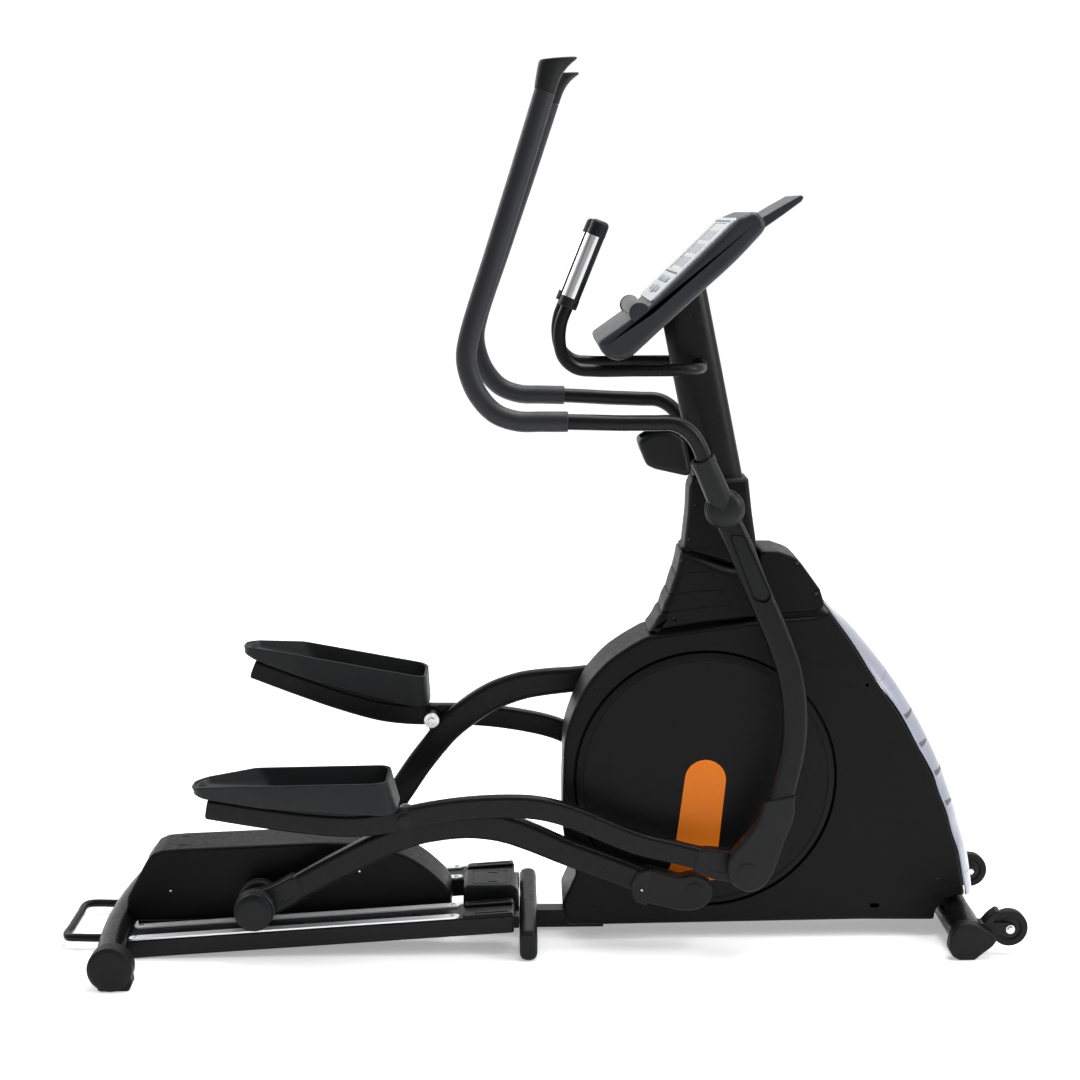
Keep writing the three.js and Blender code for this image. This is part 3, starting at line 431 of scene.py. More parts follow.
def finish_of(name, color, rough, metallic=0.0, grain=1500.0, bump=0.12, depth=0.0002, var=0.18, rvar=0.08, wear=0.25, spec=0.5,
              coat=0.0, coat_rough=0.1, brushed=None, cells=False, sheen=0.0):
    """A surface with fine grain, patchy tone and roughness, and edges rubbed a little lighter."""
    m, nt, bsdf = base_material(name)
    bsdf.inputs["Metallic"].default_value = metallic
    bsdf.inputs["Specular IOR Level"].default_value = spec
    bsdf.inputs["Coat Weight"].default_value = coat
    bsdf.inputs["Coat Roughness"].default_value = coat_rough
    bsdf.inputs["Sheen Weight"].default_value = sheen
    tc = node(nt, "ShaderNodeTexCoord")
    vec = tc.outputs["Object"]
    mp = node(nt, "ShaderNodeMapping")
    mp.inputs["Scale"].default_value = brushed or (1, 1, 1)
    nt.links.new(vec, mp.inputs["Vector"])
    fine = node(nt, "ShaderNodeTexNoise", Scale=grain, Detail=3.0, Roughness=0.6)
    nt.links.new(mp.outputs["Vector"], fine.inputs["Vector"])
    broad = node(nt, "ShaderNodeTexNoise", Scale=7.0, Detail=5.0, Roughness=0.55)
    nt.links.new(vec, broad.inputs["Vector"])
    mid = node(nt, "ShaderNodeTexNoise", Scale=95.0, Detail=4.0, Roughness=0.65)
    nt.links.new(vec, mid.inputs["Vector"])
    # tone
    mix = node(nt, "ShaderNodeMix")
    mix.data_type = "RGBA"
    mix.inputs["A"].default_value = (*[c * (1 - var) for c in color], 1)
    mix.inputs["B"].default_value = (*[min(1, c * (1 + var)) for c in color], 1)
    blend = node(nt, "ShaderNodeMath", operation="ADD")
    nt.links.new(ramp(nt, broad.outputs["Fac"], 0.3, 0.7, 0.0, 0.7), blend.inputs[0])
    nt.links.new(ramp(nt, fine.outputs["Fac"], 0.3, 0.7, 0.0, 0.3), blend.inputs[1])
    nt.links.new(blend.outputs[0], mix.inputs["Factor"])
    geo = node(nt, "ShaderNodeNewGeometry")
    edge = ramp(nt, geo.outputs["Pointiness"], 0.53, 0.62, 0.0, wear)
    worn = node(nt, "ShaderNodeMix")
    worn.data_type = "RGBA"
    worn.inputs["B"].default_value = (*[min(1, c * 1.9 + 0.02) for c in color], 1)
    speck = node(nt, "ShaderNodeMath", operation="MULTIPLY")
    nt.links.new(edge, speck.inputs[0])
    nt.links.new(ramp(nt, mid.outputs["Fac"], 0.4, 0.65, 0.2, 1.0), speck.inputs[1])
    nt.links.new(speck.outputs[0], worn.inputs["Factor"])
    nt.links.new(mix.outputs["Result"], worn.inputs["A"])
    nt.links.new(worn.outputs["Result"], bsdf.inputs["Base Color"])
    # roughness
    both = node(nt, "ShaderNodeMath", operation="ADD")
    nt.links.new(ramp(nt, mid.outputs["Fac"], 0.3, 0.7, rough - rvar, rough + rvar), both.inputs[0])
    nt.links.new(ramp(nt, broad.outputs["Fac"], 0.3, 0.7, -rvar * 0.5, rvar * 0.5), both.inputs[1])
    nt.links.new(both.outputs[0], bsdf.inputs["Roughness"])
    # relief
    height = fine.outputs["Fac"]
    if cells:
        vor = node(nt, "ShaderNodeTexVoronoi", Scale=grain * 0.6)
        nt.links.new(vec, vor.inputs["Vector"])
        add = node(nt, "ShaderNodeMath", operation="ADD")
        nt.links.new(vor.outputs["Distance"], add.inputs[0])
        nt.links.new(fine.outputs["Fac"], add.inputs[1])
        height = add.outputs[0]
    bp = node(nt, "ShaderNodeBump", Strength=bump, Distance=depth)
    nt.links.new(height, bp.inputs["Height"])
    nt.links.new(bp.outputs["Normal"], bsdf.inputs["Normal"])
    return m


M = {
    "paint": finish_of("satin_black_powder_coat", (0.0040, 0.0040, 0.0046), 0.33, grain=900, bump=0.06, depth=0.0002, spec=0.15, wear=0.15),
    "casing": finish_of("grained_black_plastic", (0.0034, 0.0034, 0.0039), 0.44, grain=1700, bump=0.16, depth=0.00022, spec=0.10),
    "drum": finish_of("smooth_black_plastic", (0.0036, 0.0036, 0.0040), 0.42, grain=1300, bump=0.08, depth=0.0002, spec=0.11),
    "shield": finish_of("silver_lacquer", (0.27, 0.275, 0.33), 0.34, metallic=0.55, grain=2600, bump=0.04, depth=0.0001, var=0.06, rvar=0.05, wear=0.1, coat=0.4, coat_rough=0.12),
    # painted shade: this dark colour on the vent wedges stands in for the shadow inside the recessed vent notches
    "notch_shade": finish_of("painted_vent_shade", (0.05, 0.052, 0.062), 0.45, grain=1800, bump=0.1, var=0.1),
    "boot": finish_of("dark_grey_moulding", (0.0062, 0.0065, 0.0072), 0.42, grain=1500, bump=0.16, depth=0.00025, spec=0.17),
    "pedal": finish_of("pedal_moulding", (0.0088, 0.0096, 0.0104), 0.55, grain=1200, bump=0.28, depth=0.0004, spec=0.20, var=0.2),
    "tread": finish_of("pedal_tread_rubber", (0.011, 0.0115, 0.0125), 0.7, grain=1000, bump=0.35, depth=0.0004, spec=0.35),
    "rubber": finish_of("black_rubber", (0.0050, 0.0050, 0.0054), 0.55, grain=1100, bump=0.22, depth=0.0003, spec=0.16),
    "urethane": finish_of("roller_urethane", (0.012, 0.012, 0.013), 0.4, grain=900, bump=0.08, spec=0.35),
    "foam": finish_of("closed_cell_foam", (0.0095, 0.0098, 0.0118), 0.50, grain=1300, bump=0.32, depth=0.0004, spec=0.28, cells=True, sheen=0.04, wear=0.05),
    "console": finish_of("slate_moulding", (0.0135, 0.0155, 0.0185), 0.40, grain=1800, bump=0.12, depth=0.0002, spec=0.26),
    # painted reflection: this light grey copies the sky seen mirrored in the console face; the reading rack's lip uses
    # it too
    "face": finish_of("console_face", (0.36, 0.39, 0.41), 0.36, grain=2200, bump=0.06, depth=0.0001, var=0.05, rvar=0.05, wear=0.05),
    "glass": finish_of("display_glass", (0.006, 0.008, 0.010), 0.08, grain=400, bump=0.01, depth=0.0001, rvar=0.03, wear=0.0, coat=0.6, coat_rough=0.03),
    "key": finish_of("key_rubber", (0.27, 0.29, 0.31), 0.5, grain=1500, bump=0.15, depth=0.0002),
    "keylight": finish_of("pale_key", (0.55, 0.57, 0.58), 0.45, grain=1500, bump=0.1, depth=0.0002, var=0.05),
    "chrome": finish_of("polished_contact", (0.78, 0.78, 0.79), 0.12, metallic=1.0, grain=500, bump=0.02, depth=0.0001, var=0.04, rvar=0.05, wear=0.0),
    "zinc": finish_of("zinc_plated_screw", (0.62, 0.62, 0.60), 0.28, metallic=1.0, grain=1500, bump=0.06, depth=0.0001, var=0.1, rvar=0.08),
    "black_screw": finish_of("blackened_screw", (0.03, 0.03, 0.032), 0.35, metallic=0.8, grain=1500, bump=0.08, depth=0.0001),
    "steel": finish_of("ground_steel", (0.48, 0.48, 0.49), 0.25, metallic=1.0, grain=900, bump=0.05, depth=0.0001, brushed=(1, 0.05, 1)),
    "aluminium": finish_of("drawn_aluminium", (0.80, 0.81, 0.82), 0.32, metallic=0.45, grain=600, bump=0.01, depth=0.00005, var=0.03, rvar=0.03, wear=0.0, brushed=(0.02, 1, 1)),
    "orange": finish_of("orange_plastic", (0.72, 0.175, 0.006), 0.45, grain=2200, bump=0.05, depth=0.0001, var=0.05, rvar=0.05, wear=0.03, spec=0.2),
    "red": finish_of("red_rocker", (0.65, 0.012, 0.015), 0.28, grain=1500, bump=0.03, depth=0.0001, var=0.06, wear=0.05, coat=0.5, coat_rough=0.08),
    "iron": finish_of("machined_iron", (0.10, 0.10, 0.105), 0.42, metallic=0.9, grain=700, bump=0.15, depth=0.0003, brushed=(1, 0.1, 1)),
    "belt": finish_of("belt_rubber", (0.015, 0.015, 0.015), 0.75, grain=900, bump=0.3, depth=0.0003),
}


def piece(name, g, mat, nodes=(), body=None, m=None, flip=False, sharp=32.0):
    """Makes a shown piece from a shape in millimetres. m places a leg piece, and flip mirrors it to the left side first."""
    if flip:
        g = mirrored(g)
    if m is not None:
        g = moved(g, m)
    me = to_mesh(g, 0.001)
    me.name = name
    o = bpy.data.objects.new(name, me)
    bpy.context.scene.collection.objects.link(o)
    me.materials.append(M[mat])
    for p in me.polygons:
        p.use_smooth = True
    me.set_sharp_from_angle(angle=math.radians(sharp))
    w = o.modifiers.new("normals", "WEIGHTED_NORMAL")
    w.keep_sharp = True
    w.weight = 60
    if isinstance(nodes, str):
        nodes = (nodes,)
    if nodes:
        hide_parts(*nodes)
    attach(o, body or BODY[nodes[0]])
    return o


def both(name, g, mat, node_name=None, body=None, **kw):
    """The right piece as drawn and its mirror image on the left. node_name and body carry no side when the sides have their own."""
    for side, flip in (("right", False), ("left", True)):
        nodes = ("%s_%s" % (side, node_name),) if node_name else ()
        b = None if nodes and body is None else (body or "frame").replace("SIDE", side)
        piece("%s_%s" % (side, name), g, mat, nodes, body=b, flip=flip, **kw)


# ------------------------------------------------------------------ dimensions shared with the frame

CRANK = (356.3, 356.0)
DISC_R = 277.0
ROLLER = (-604.4, 103.6)
SLOPE = 0.0603
ROLLER_R = 42.8
COS = 1 / math.hypot(1, SLOPE)
LINK = 934.0
Q = (326.0, 188.0)
MAST_P = (380.0, 960.0)
LEFT_TRAVEL = 181.1
PITCH = {"right": 1.41, "left": 30.28}
PEDAL = {"right": -8.74, "left": -20.28}
SWING = {"right": 0.0, "left": 1.2}


def track_top(x):
    return ROLLER[1] + SLOPE * (x - ROLLER[0]) - (ROLLER_R + 0.3) / COS


def leg_frames(side):
    t = LEFT_TRAVEL if side == "left" else 0.0
    r = (ROLLER[0] + t, ROLLER[1] + t * SLOPE)
    a = math.radians(PITCH[side])
    at = Matrix.Translation(Vector((r[0], 0, r[1])))
    q = (r[0] + Q[0] * math.cos(a) - Q[1] * math.sin(a), r[1] + Q[0] * math.sin(a) + Q[1] * math.cos(a))
    return {
        "roller": at,
        "rail_arm": at @ Matrix.Rotation(-a, 4, "Y"),
        "pedal_arm": Matrix.Translation(Vector((q[0], 0, q[1]))) @ Matrix.Rotation(-math.radians(PEDAL[side]), 4, "Y"),
        "swing_arm": Matrix.Translation(Vector((MAST_P[0], 0, MAST_P[1]))) @ Matrix.Rotation(math.radians(SWING[side]), 4, "Y"),
    }


def legs(name, g, mat, body, frame_name, node_name=None, **kw):
    for side in ("right", "left"):
        f = leg_frames(side)[frame_name]
        piece("%s_%s" % (side, name), g, mat, ("%s_%s" % (side, node_name),) if node_name else (), body="%s_%s" % (side, body), m=f,
              flip=side == "left", **kw)


def screw(x, z, y, r=4.2, head=2.2, out=-1):
    """A pan head with a cross slot, its axis along Y, standing out from y."""
    y1 = y + out * head
    g = turn([(0, y - out * 1.5), (r, y - out * 1.5), (r, y1 - out * 0.4), (r * 0.55, y1), (0, y1)], 0.8, (x, z), 24)
    slot_w = r * 0.22
    a = box(x - r * 0.62, x + r * 0.62, min(y1, y1 - out * 1.0) - 0.3, max(y1, y1 - out * 1.0) + 0.3, z - slot_w, z + slot_w, 0.1)
    b = box(x - slot_w, x + slot_w, min(y1, y1 - out * 1.0) - 0.3, max(y1, y1 - out * 1.0) + 0.3, z - r * 0.62, z + r * 0.62, 0.1)
    return cut(g, a, b)


def strip(pts, w):
    """A closed outline of width w along a line of X-Z points, with square ends."""
    p = np.array(pts, float)
    t = np.gradient(p, axis=0)
    t /= np.linalg.norm(t, axis=1)[:, None]
    n = np.stack([-t[:, 1], t[:, 0]], 1) * w / 2
    return [tuple(x) for x in p + n] + [tuple(x) for x in (p - n)[::-1]]


def hole(x, z, r, y0, y1, seg=28):
    return cyl(x, z, r, y0, y1, 0.05, seg)

# ------------------------------------------------------------------ housing

SIDE = [
    (59, 31), (48, 79), (80, 150), (60, 195), (50, 247), (50, 321), (54, 444), (69, 494), (101, 566), (146, 616),
    (188, 645), (231, 669), (350, 684), (469, 700), (525, 705), (589, 709), (618, 722), (668, 650), (714, 576),
    (769, 501), (811, 424), (845, 362), (858, 324), (877, 277), (889, 232), (903, 194), (921, 93), (853, 36), (694, 38),
]
SIDE_R = [14, 30, 25, 60, 400, 900, 900, 900, 900, 900, 400, 60, 900, 900, 900, 200, 14, 900, 900, 900, 900, 900, 900, 900, 900, 300, 13, 13, 900]
side_line = rnd(SIDE, SIDE_R, 6)
outer = plate(side_line, -85, -0.2, 9, 0, k=6)
inner = plate(inset(rnd(SIDE, SIDE_R, 3), 4), -81, 6, 3, 0, k=2)
cover = cut(outer, inner)
pan = cyl(CRANK[0], CRANK[1], DISC_R + 8, -84.6, -63, 0.5, 96)
cover = fuse(cover, pan)
recess = turn([(0, -95), (DISC_R + 12, -95), (DISC_R + 4.5, -83), (DISC_R + 4.5, -67), (0, -67)], 1.5, CRANK, 128)
# a shallow step round the drum, and the two press lines of the panel
line_a = strip([(550, 622), (587, 613), (623, 602)], 1.6)
line_b = strip([(468, 698), (474, 672), (497, 640)], 1.6)
tools = [
    recess,
    hole(CRANK[0], CRANK[1], 17, -90, -40, 32),
    box(30, 200, -21, 21, -5, 46, 0.2),
    sweep([(454.0 + 14 - 0.2 * (600 - 960) - 60, 0, 600), (434.0 + 14 - 0.2 * (800 - 960) - 80, 0, 800)], circle(32, 40, 53), n=2, smooth=False),
    cyl(905, 42, 50.6, -95, 10, 0.1, 48),
    plate(line_a, -87, -84.1, 0), plate(line_b, -87, -84.1, 0),
    # long hole and screw wells
    plate(rnd([(715, 66), (735, 66), (735, 76), (715, 76)], 5, 5), -90, -78, 0),
    hole(583, 343, 2.4, -90, -82), hole(120, 560, 3.4, -90, -80), hole(700, 560, 3.6, -90, -80),
    hole(860, 130, 3.6, -90, -80), hole(120, 66, 3.6, -90, -80),
]
# the tool for the mast, straight from the frame's own numbers
tools[3] = moved(plate(rnd([(-53, -130), (53, -130), (53, 130), (-53, 130)], 1, 2), -32, 32, 20, k=5),
                 Matrix.Translation(Vector((380 + 14 - 0.2 * (700 - 960), 0, 700))) @ Matrix.Rotation(-math.atan(0.2), 4, "Y"))
cover = cut(cover, *tools)
both("side_cover", cover, "casing", "side_cover")
# well bottoms with their screws
for x, z in ((120, 560), (860, 130), (120, 66)):
    s = screw(x, z, -82, 2.9, 1.0)
    both("cover_screw_%d_%d" % (x, z), s, "black_screw")

disc = turn(
    [(0, -70.2), (DISC_R, -70.2), (DISC_R, -84), (264.5, -86), (264.2, -84.7), (260.8, -84.7), (260.5, -86), (40, -86), (0, -86)],
    [0, 1, 3, 1.2, 0.6, 0.6, 1.0, 0, 0], CRANK, 160)
both("crank_disc", disc, "drum", "crank_disc")

pin_right = math.atan2(126.6 - CRANK[1], 329.3 - CRANK[0])


def crank_plate(a):
    u = (math.cos(a), math.sin(a))
    v = (-u[1], u[0])
    local = [(-44 * math.sin(math.pi * i / 24), 44 * math.cos(math.pi * i / 24)) for i in range(25)]
    local += [(150, -46), (196, -50), (214, -58)]
    local += [(224 * math.cos(math.radians(-15 + 3 * i)), 224 * math.sin(math.radians(-15 + 3 * i))) for i in range(11)]
    local += [(214, 58), (196, 50), (150, 46)]
    return rnd([(CRANK[0] + u[0] * s + v[0] * t, CRANK[1] + u[1] * s + v[1] * t) for s, t in local], [40] * 25 + [300, 60, 8] + [40] * 11 + [8, 60, 300], 4)


for side, a, s in (("right", pin_right, -1), ("left", pin_right + math.pi, 1)):
    line = crank_plate(a)
    y = sorted((s * 86.35, s * 88.5))
    g = plate(line, y[0], y[1], 0.7, k=3)
    rim = plate(inset(line, 5.0), *sorted((s * 88.1, s * 92)), 0)
    rim2 = plate(inset(line, 6.2), *sorted((s * 88.0, s * 93)), 0)
    g = cut(g, cut(rim, rim2)) if False else g
    piece(side + "_crank_plate", g, "orange", side + "_crank_plate")
    piece(side + "_crank_bolt", turn([(0, s * 88), (13, s * 88.4), (13, s * 88.55), (0, s * 88.9)], 0.1, CRANK, 48), "orange", body="crankset")

# front shield: a crowned strip between the two side covers
shield_out = curve([(622, 720), (635, 709), (668, 680), (715, 625), (761, 565), (804, 499), (841, 432), (875, 358), (897, 299), (921, 219), (932, 180), (941, 130), (946, 90)], 90)
shield_edge = curve([(621, 722.5), (672, 652), (718, 578), (773, 503), (815, 426), (849, 364), (862, 325.5), (881, 278), (893, 233), (907, 194.5), (917, 145), (925.3, 93)], 90)


def crown(drop):
    rings = []
    for o, e in zip(shield_out, shield_edge):
        ring = []
        for j in range(41):
            y = -80 + 4 * j
            s = abs(y) / 80
            k = (1 - s ** 3.0)
            x = e[0] + (o[0] - e[0]) * k + 1.4 * (1 - s ** 14)
            z = e[1] + (o[1] - e[1]) * k
            ring.append((x - drop * 0.86, y * (1 - drop * 0.004), z - drop * 0.5))
        rings.append(ring)
    return rings


a_rings, b_rings = crown(0.0), crown(3.5)
rings = [r + list(reversed(q)) for r, q in zip(a_rings, b_rings)]
shield = skin(rings)
# wedge shapes for vent notches at the edges, built here but not cut from the shield
notches = []
for i in (37, 46, 55, 64, 73):
    e = shield_edge[i]
    t = shield_edge[i + 1] - shield_edge[i - 1]
    t = t / np.linalg.norm(t)
    nrm = np.array([-t[1], t[0]])
    for s in (-1, 1):
        tip, back = 38, 96
        # a wedge lying on the surface, its point towards the middle
        pts = [(-11, s * 90), (10, s * 90), (-8, s * (80 - 22))]
        depth = []
        for h in (-6.5, 30):
            depth.append([(e[0] + t[0] * a + nrm[0] * h, y, e[1] + t[1] * a + nrm[1] * h) for a, y in pts])
        low = [(p[0] + 0, p[1], p[2]) for p in depth[0]]
        notches.append(skin([low, depth[1]]))
shield = cut(shield, box(905, 960, -11.5, 11.5, 156.5, 187.5, 2))
grooves = []
for i in (24, 27, 84):
    e, o = shield_edge[i], shield_out[i]
    t = shield_edge[i + 1] - shield_edge[i - 1]
    t = t / np.linalg.norm(t)
    nrm = np.array([-t[1], t[0]])
    if nrm[0] < 0:
        nrm = -nrm
    line = []
    for j in range(25):
        y = -84 + 7 * j
        s = abs(y) / 84
        lift = 10 * (1 - s ** 2) if i == 27 else -6 * (1 - s ** 2)
        line.append((y, lift))
    rr = []
    for y, lift in line:
        s = min(1, abs(y) / 80)
        k = 1 - s ** 3.0
        c = np.array([e[0] + (o[0] - e[0]) * k + 1.4 * (1 - s ** 14), e[1] + (o[1] - e[1]) * k]) + t * lift
        rr.append([(c[0] + t[0] * a + nrm[0] * b, y, c[1] + t[1] * a + nrm[1] * b) for a, b in ((-0.8, -1.1), (0.8, -1.1), (0.8, 5), (-0.8, 5))])
    grooves.append(skin(rr))
shield = cut(shield, *grooves)
piece("front_shield", shield, "shield", "front_shield", sharp=40)
# vent blades: dark wedges let into the surface at both edges; their dark colour is painted shade standing in for the
# shadow inside each recessed notch, and the lighter lip beside each is in the shield's own colour
for i, idx in enumerate((37, 46, 55, 64)):
    e, o = shield_edge[idx], shield_out[idx]
    t = shield_edge[idx + 1] - shield_edge[idx - 1]
    t = t / np.linalg.norm(t)
    nrm = np.array([-t[1], t[0]])
    if nrm[0] < 0:
        nrm = -nrm

    def on(y, along, h):
        s = min(1, abs(y) / 80)
        k = 1 - s ** 3.0
        c = np.array([e[0] + (o[0] - e[0]) * k + 1.4 * (1 - s ** 14), e[1] + (o[1] - e[1]) * k]) + t * along + nrm * h
        return (c[0], y, c[1])

    for side, s in (("right", -1), ("left", 1)):
        for tone, a0, a1, a2, matn in (("shade", -12, -1, -11, "notch_shade"), ("lip", 1, 8, -9, "shield")):
            top, low = [], []
            for j in range(13):
                y = 79.2 - 46 * j / 12
                f = j / 12
                lo_a, hi_a = a0 + (a2 - a0) * f, a1 + (a2 + 0.6 - a1) * f
                h = 0.35 if tone == "shade" else 1.6 * (1 - f) + 0.3
                top.append([on(s * y, lo_a, -2.5), on(s * y, hi_a, -2.5), on(s * y, hi_a, 0.25 if tone == "shade" else 0.4), on(s * y, lo_a, h)])
            piece("%s_vent_%s_%d" % (side, tone, i), skin(top), matn, body="frame")

# rocker of the power switch, in its frame
rocker = plate(rnd([(915, 160), (933, 160), (937.5, 174), (931, 184.5), (915, 184.5)], [1, 2, 6, 2, 1], 4), -8.8, 8.8, 1.0)
piece("power_switch", rocker, "red", "power_switch")
bezel = cut(moved(box(-3.2, 3.2, -14, 14, -18, 18, 1.4), Matrix.Translation(Vector((931.2, 0, 172))) @ Matrix.Rotation(math.radians(-14), 4, "Y")),
            box(905, 960, -9.6, 9.6, 158.5, 186, 1))
piece("switch_bezel", bezel, "boot", body="frame")

# top cover with its tray
TOP = [(467, 704.5), (525, 709), (589, 713.5), (615, 727), (602, 768), (563, 822), (549, 836), (536, 843), (508, 853), (467, 854)]
top_line = rnd(TOP, [14, 300, 60, 14, 200, 200, 40, 30, 60, 14], 6)
top = plate(top_line, -80, 80, 12, k=7)
top = cut(top, plate(inset(rnd(TOP, 16, 4), 4.5), -75, 75, 6),
          plate(rnd([(480, 843), (532, 835), (556, 826), (575, 880), (480, 880)], 3, 3), -58, 58, 6, k=4),
          moved(plate(rnd([(-53, -130), (53, -130), (53, 130), (-53, 130)], 1, 2), -32, 32, 20, k=5),
                Matrix.Translation(Vector((380 + 14 - 0.2 * (760 - 960), 0, 760))) @ Matrix.Rotation(-math.atan(0.2), 4, "Y")))
tray = plate(rnd([(482, 839.5), (531, 832), (551, 824), (549, 819), (530, 827), (482, 834)], 1.5, 2), -60, 60, 1)
top = cut(top, hole(549, 823, 7.0, -90, -70), hole(549, 823, 7.0, 70, 90), hole(590, 757, 7.0, -90, -70), hole(590, 757, 7.0, 70, 90))
top = fuse(top, tray)
piece("top_cover", top, "casing", "top_cover")
for x, z in ((549, 823), (590, 757)):
    both("top_screw_%d" % x, screw(x, z, -73, 4.6, 1.6), "black_screw")

# mast covers
UP = [(329, 1001), (321, 982), (319, 928), (311, 856), (303, 852), (405, 815), (464, 810), (466, 856), (455, 930), (447, 1001)]
up = plate(rnd(UP, [6, 40, 300, 40, 6, 60, 3, 60, 300, 6], 6), -56, 56, 15, k=7)
mast_tool = moved(plate(rnd([(-52.6, -400), (52.6, -400), (52.6, 400), (-52.6, 400)], 1, 2), -31.6, 31.6, 24, k=6),
                  Matrix.Translation(Vector((394, 0, 960))) @ Matrix.Rotation(-math.atan(0.2), 4, "Y"))
up = cut(up, mast_tool, hole(380, 960, 16, -60, 60), *[hole(x, z, 4.4, y0, y1) for x, z in ((334, 945), (322, 872)) for y0, y1 in ((-60, -49), (49, 60))])
piece("mast_cover_upper", up, "casing", "mast_cover_upper")
LOW = [(231, 673), (246, 690), (257, 712), (263, 718), (269, 738), (276, 752), (279, 757), (284, 775), (290, 793), (293, 800), (299, 826), (303, 848.5), (405, 811.5), (463, 806.5), (465, 703.5), (350, 688)]
low = plate(rnd(LOW, [4, 60, 30, 2, 60, 20, 2, 60, 20, 2, 40, 6, 60, 3, 3, 200], 5), -72, 72, 17, k=8)
ribs = []
for (x0, z0), (x1, z1), (x2, z2) in (((262, 716.5), (330, 727), (404, 734)), ((277.5, 755.5), (330, 764), (384, 766.5)), (((291.5, 798.5)), (330, 805), (366, 807.5))):
    line = [tuple(p) for p in curve([(x0 - 12, z0 - 2), (x0, z0), (x1, z1), (x2, z2)], 16)]
    for y0, y1 in ((-75, -70.6), (70.6, 75)):
        ribs.append(plate(strip(line, 3.0), y0, y1, 0))
        # triangular end
        ribs.append(plate([(x2 - 2, z2 + 2.5), (x2 + 7, z2 - 1), (x2 + 1, z2 - 13)], y0, y1, 0))
    ribs.append(plate(strip(line[:4], 3.0), -80, 80, 0))
low = cut(low, mast_tool, *ribs, *[hole(x, z, 4.4, y0, y1) for x, z in ((305, 829), (290, 704)) for y0, y1 in ((-80, -63), (63, 80))])
piece("mast_cover_lower", low, "casing", "mast_cover_lower")
for n, (x, z), y in (("a", (334, 945), -52), ("b", (322, 872), -52), ("c", (305, 829), -66), ("d", (290, 704), -66)):
    both("mast_screw_" + n, screw(x, z, y, 3.9, 1.2), "black_screw")

# mast
def mast_x(z):
    return 394 - 0.2 * (z - 960)


mast = sweep([(mast_x(z), 0, z) for z in (640.4, 900, 1200, 1460)], circle(31, 72, 52 / COS * 1.0), n=12, smooth=False)
under = Matrix.Translation(Vector((190, 0, 1265))) @ Matrix.Rotation(-math.atan2(1514 - 1265, 455 - 190), 4, "Y")
mast = cut(mast, moved(plate([(-400, 6), (800, 6), (800, 500), (-400, 500)], -300, 300, 0), under), hole(380, 960, 15.8, -60, 60), hole(344, 1236, 13.4, -60, 60))
piece("mast", mast, "paint", "mast", sharp=40)

# ------------------------------------------------------------------ console

CON = [(124, 1297), (131, 1279), (144, 1266), (164, 1259), (190, 1265), (265, 1334), (340, 1402), (400, 1455), (455, 1514), (461, 1526), (456, 1542), (441, 1557), (409, 1544), (228, 1369), (190, 1343)]
CON_R = [15, 30, 40, 40, 60, 900, 900, 900, 60, 14, 14, 14, 30, 60, 60]
con_line = rnd(CON, CON_R, 6)
con = plate(con_line, -195, 195, 13, k=7, loop=3)
con = cut(con, moved(plate([(-36, -100), (36, -100), (36, 30), (-36, 30)], -20, 20, 8), Matrix.Translation(Vector((330, 0, 1380)))))
piece("console_body", con, "console", "console_body")
fa, fb = np.array((228.0, 1369.0)), np.array((409.0, 1544.0))
fl = float(np.linalg.norm(fb - fa))
ft = (fb - fa) / fl
fn = np.array((-ft[1], ft[0]))
# the face's own frame: x up the slope, y across, z out of it
FACE = Matrix(((ft[0], 0, fn[0], fa[0]), (0, 1, 0, 0), (ft[1], 0, fn[1], fa[1]), (0, 0, 0, 1)))


def tile(x0, x1, y0, y1, z0, z1, r, b=0.8, crown_h=0.0):
    """A rounded rectangle lying on the face: an X-Y outline from z0 to z1."""
    turned = Matrix(((1, 0, 0, 0), (0, 0, 1, 0), (0, 1, 0, 0), (0, 0, 0, 1)))
    g = plate(rnd([(x0, y0), (x1, y0), (x1, y1), (x0, y1)], r, 6), z0, z1, 0.05, b)
    return moved(g, FACE @ turned)


face = tile(8, fl - 5, -181, 181, 0.4, 5.2, 16, 2.2)
screen_well = tile(92, fl - 22, -118, 118, 3.6, 9, 7, 0.05)
face = cut(face, screen_well)
# the face's light grey is painted reflection of the sky
piece("console_screen", face, "face", "console_screen")
piece("display_glass", tile(92.8, fl - 22.8, -117.2, 117.2, 3.0, 4.6, 6.6, 0.4), "glass", body="frame")
lcd = []
for row in range(3):
    for col in range(4):
        y0 = -106 + col * 54
        x0 = 104 + row * 38
        lcd.append(tile(x0, x0 + 28, y0, y0 + 46, 4.5, 4.85, 2, 0.1))
piece("display_cells", join(*lcd), "key", body="frame")
keys = []
for i, y in enumerate((-96, -64, -32, 0, 32, 64, 96)):
    keys.append(tile(58, 74, y - 11, y + 11, 4.6, 7.4, 7.5, 1.2))
for i, y in enumerate((-80, -48, 48, 80)):
    keys.append(tile(30, 46, y - 11, y + 11, 4.6, 7.4, 7.5, 1.2))
piece("console_keys", join(*keys), "key", body="frame")
piece("start_key", tile(26, 50, -22, 22, 4.6, 7.8, 11, 1.4), "key", body="frame")
rails_ = [tile(84, 88, -150, 150, 4.9, 6.0, 1.9, 0.6), tile(fl - 18, fl - 14.5, -150, 150, 4.9, 6.0, 1.6, 0.6)]
piece("face_lines", join(*rails_), "console", body="frame")
slots_ = []
for s in (-1, 1):
    for k in range(7):
        slots_.append(tile(100 + k * 12, 104.5 + k * 12, s * 150 - 17, s * 150 + 17, 4.9, 5.5, 2.2, 0.1))
piece("speaker_slots", join(*slots_), "glass", body="frame")
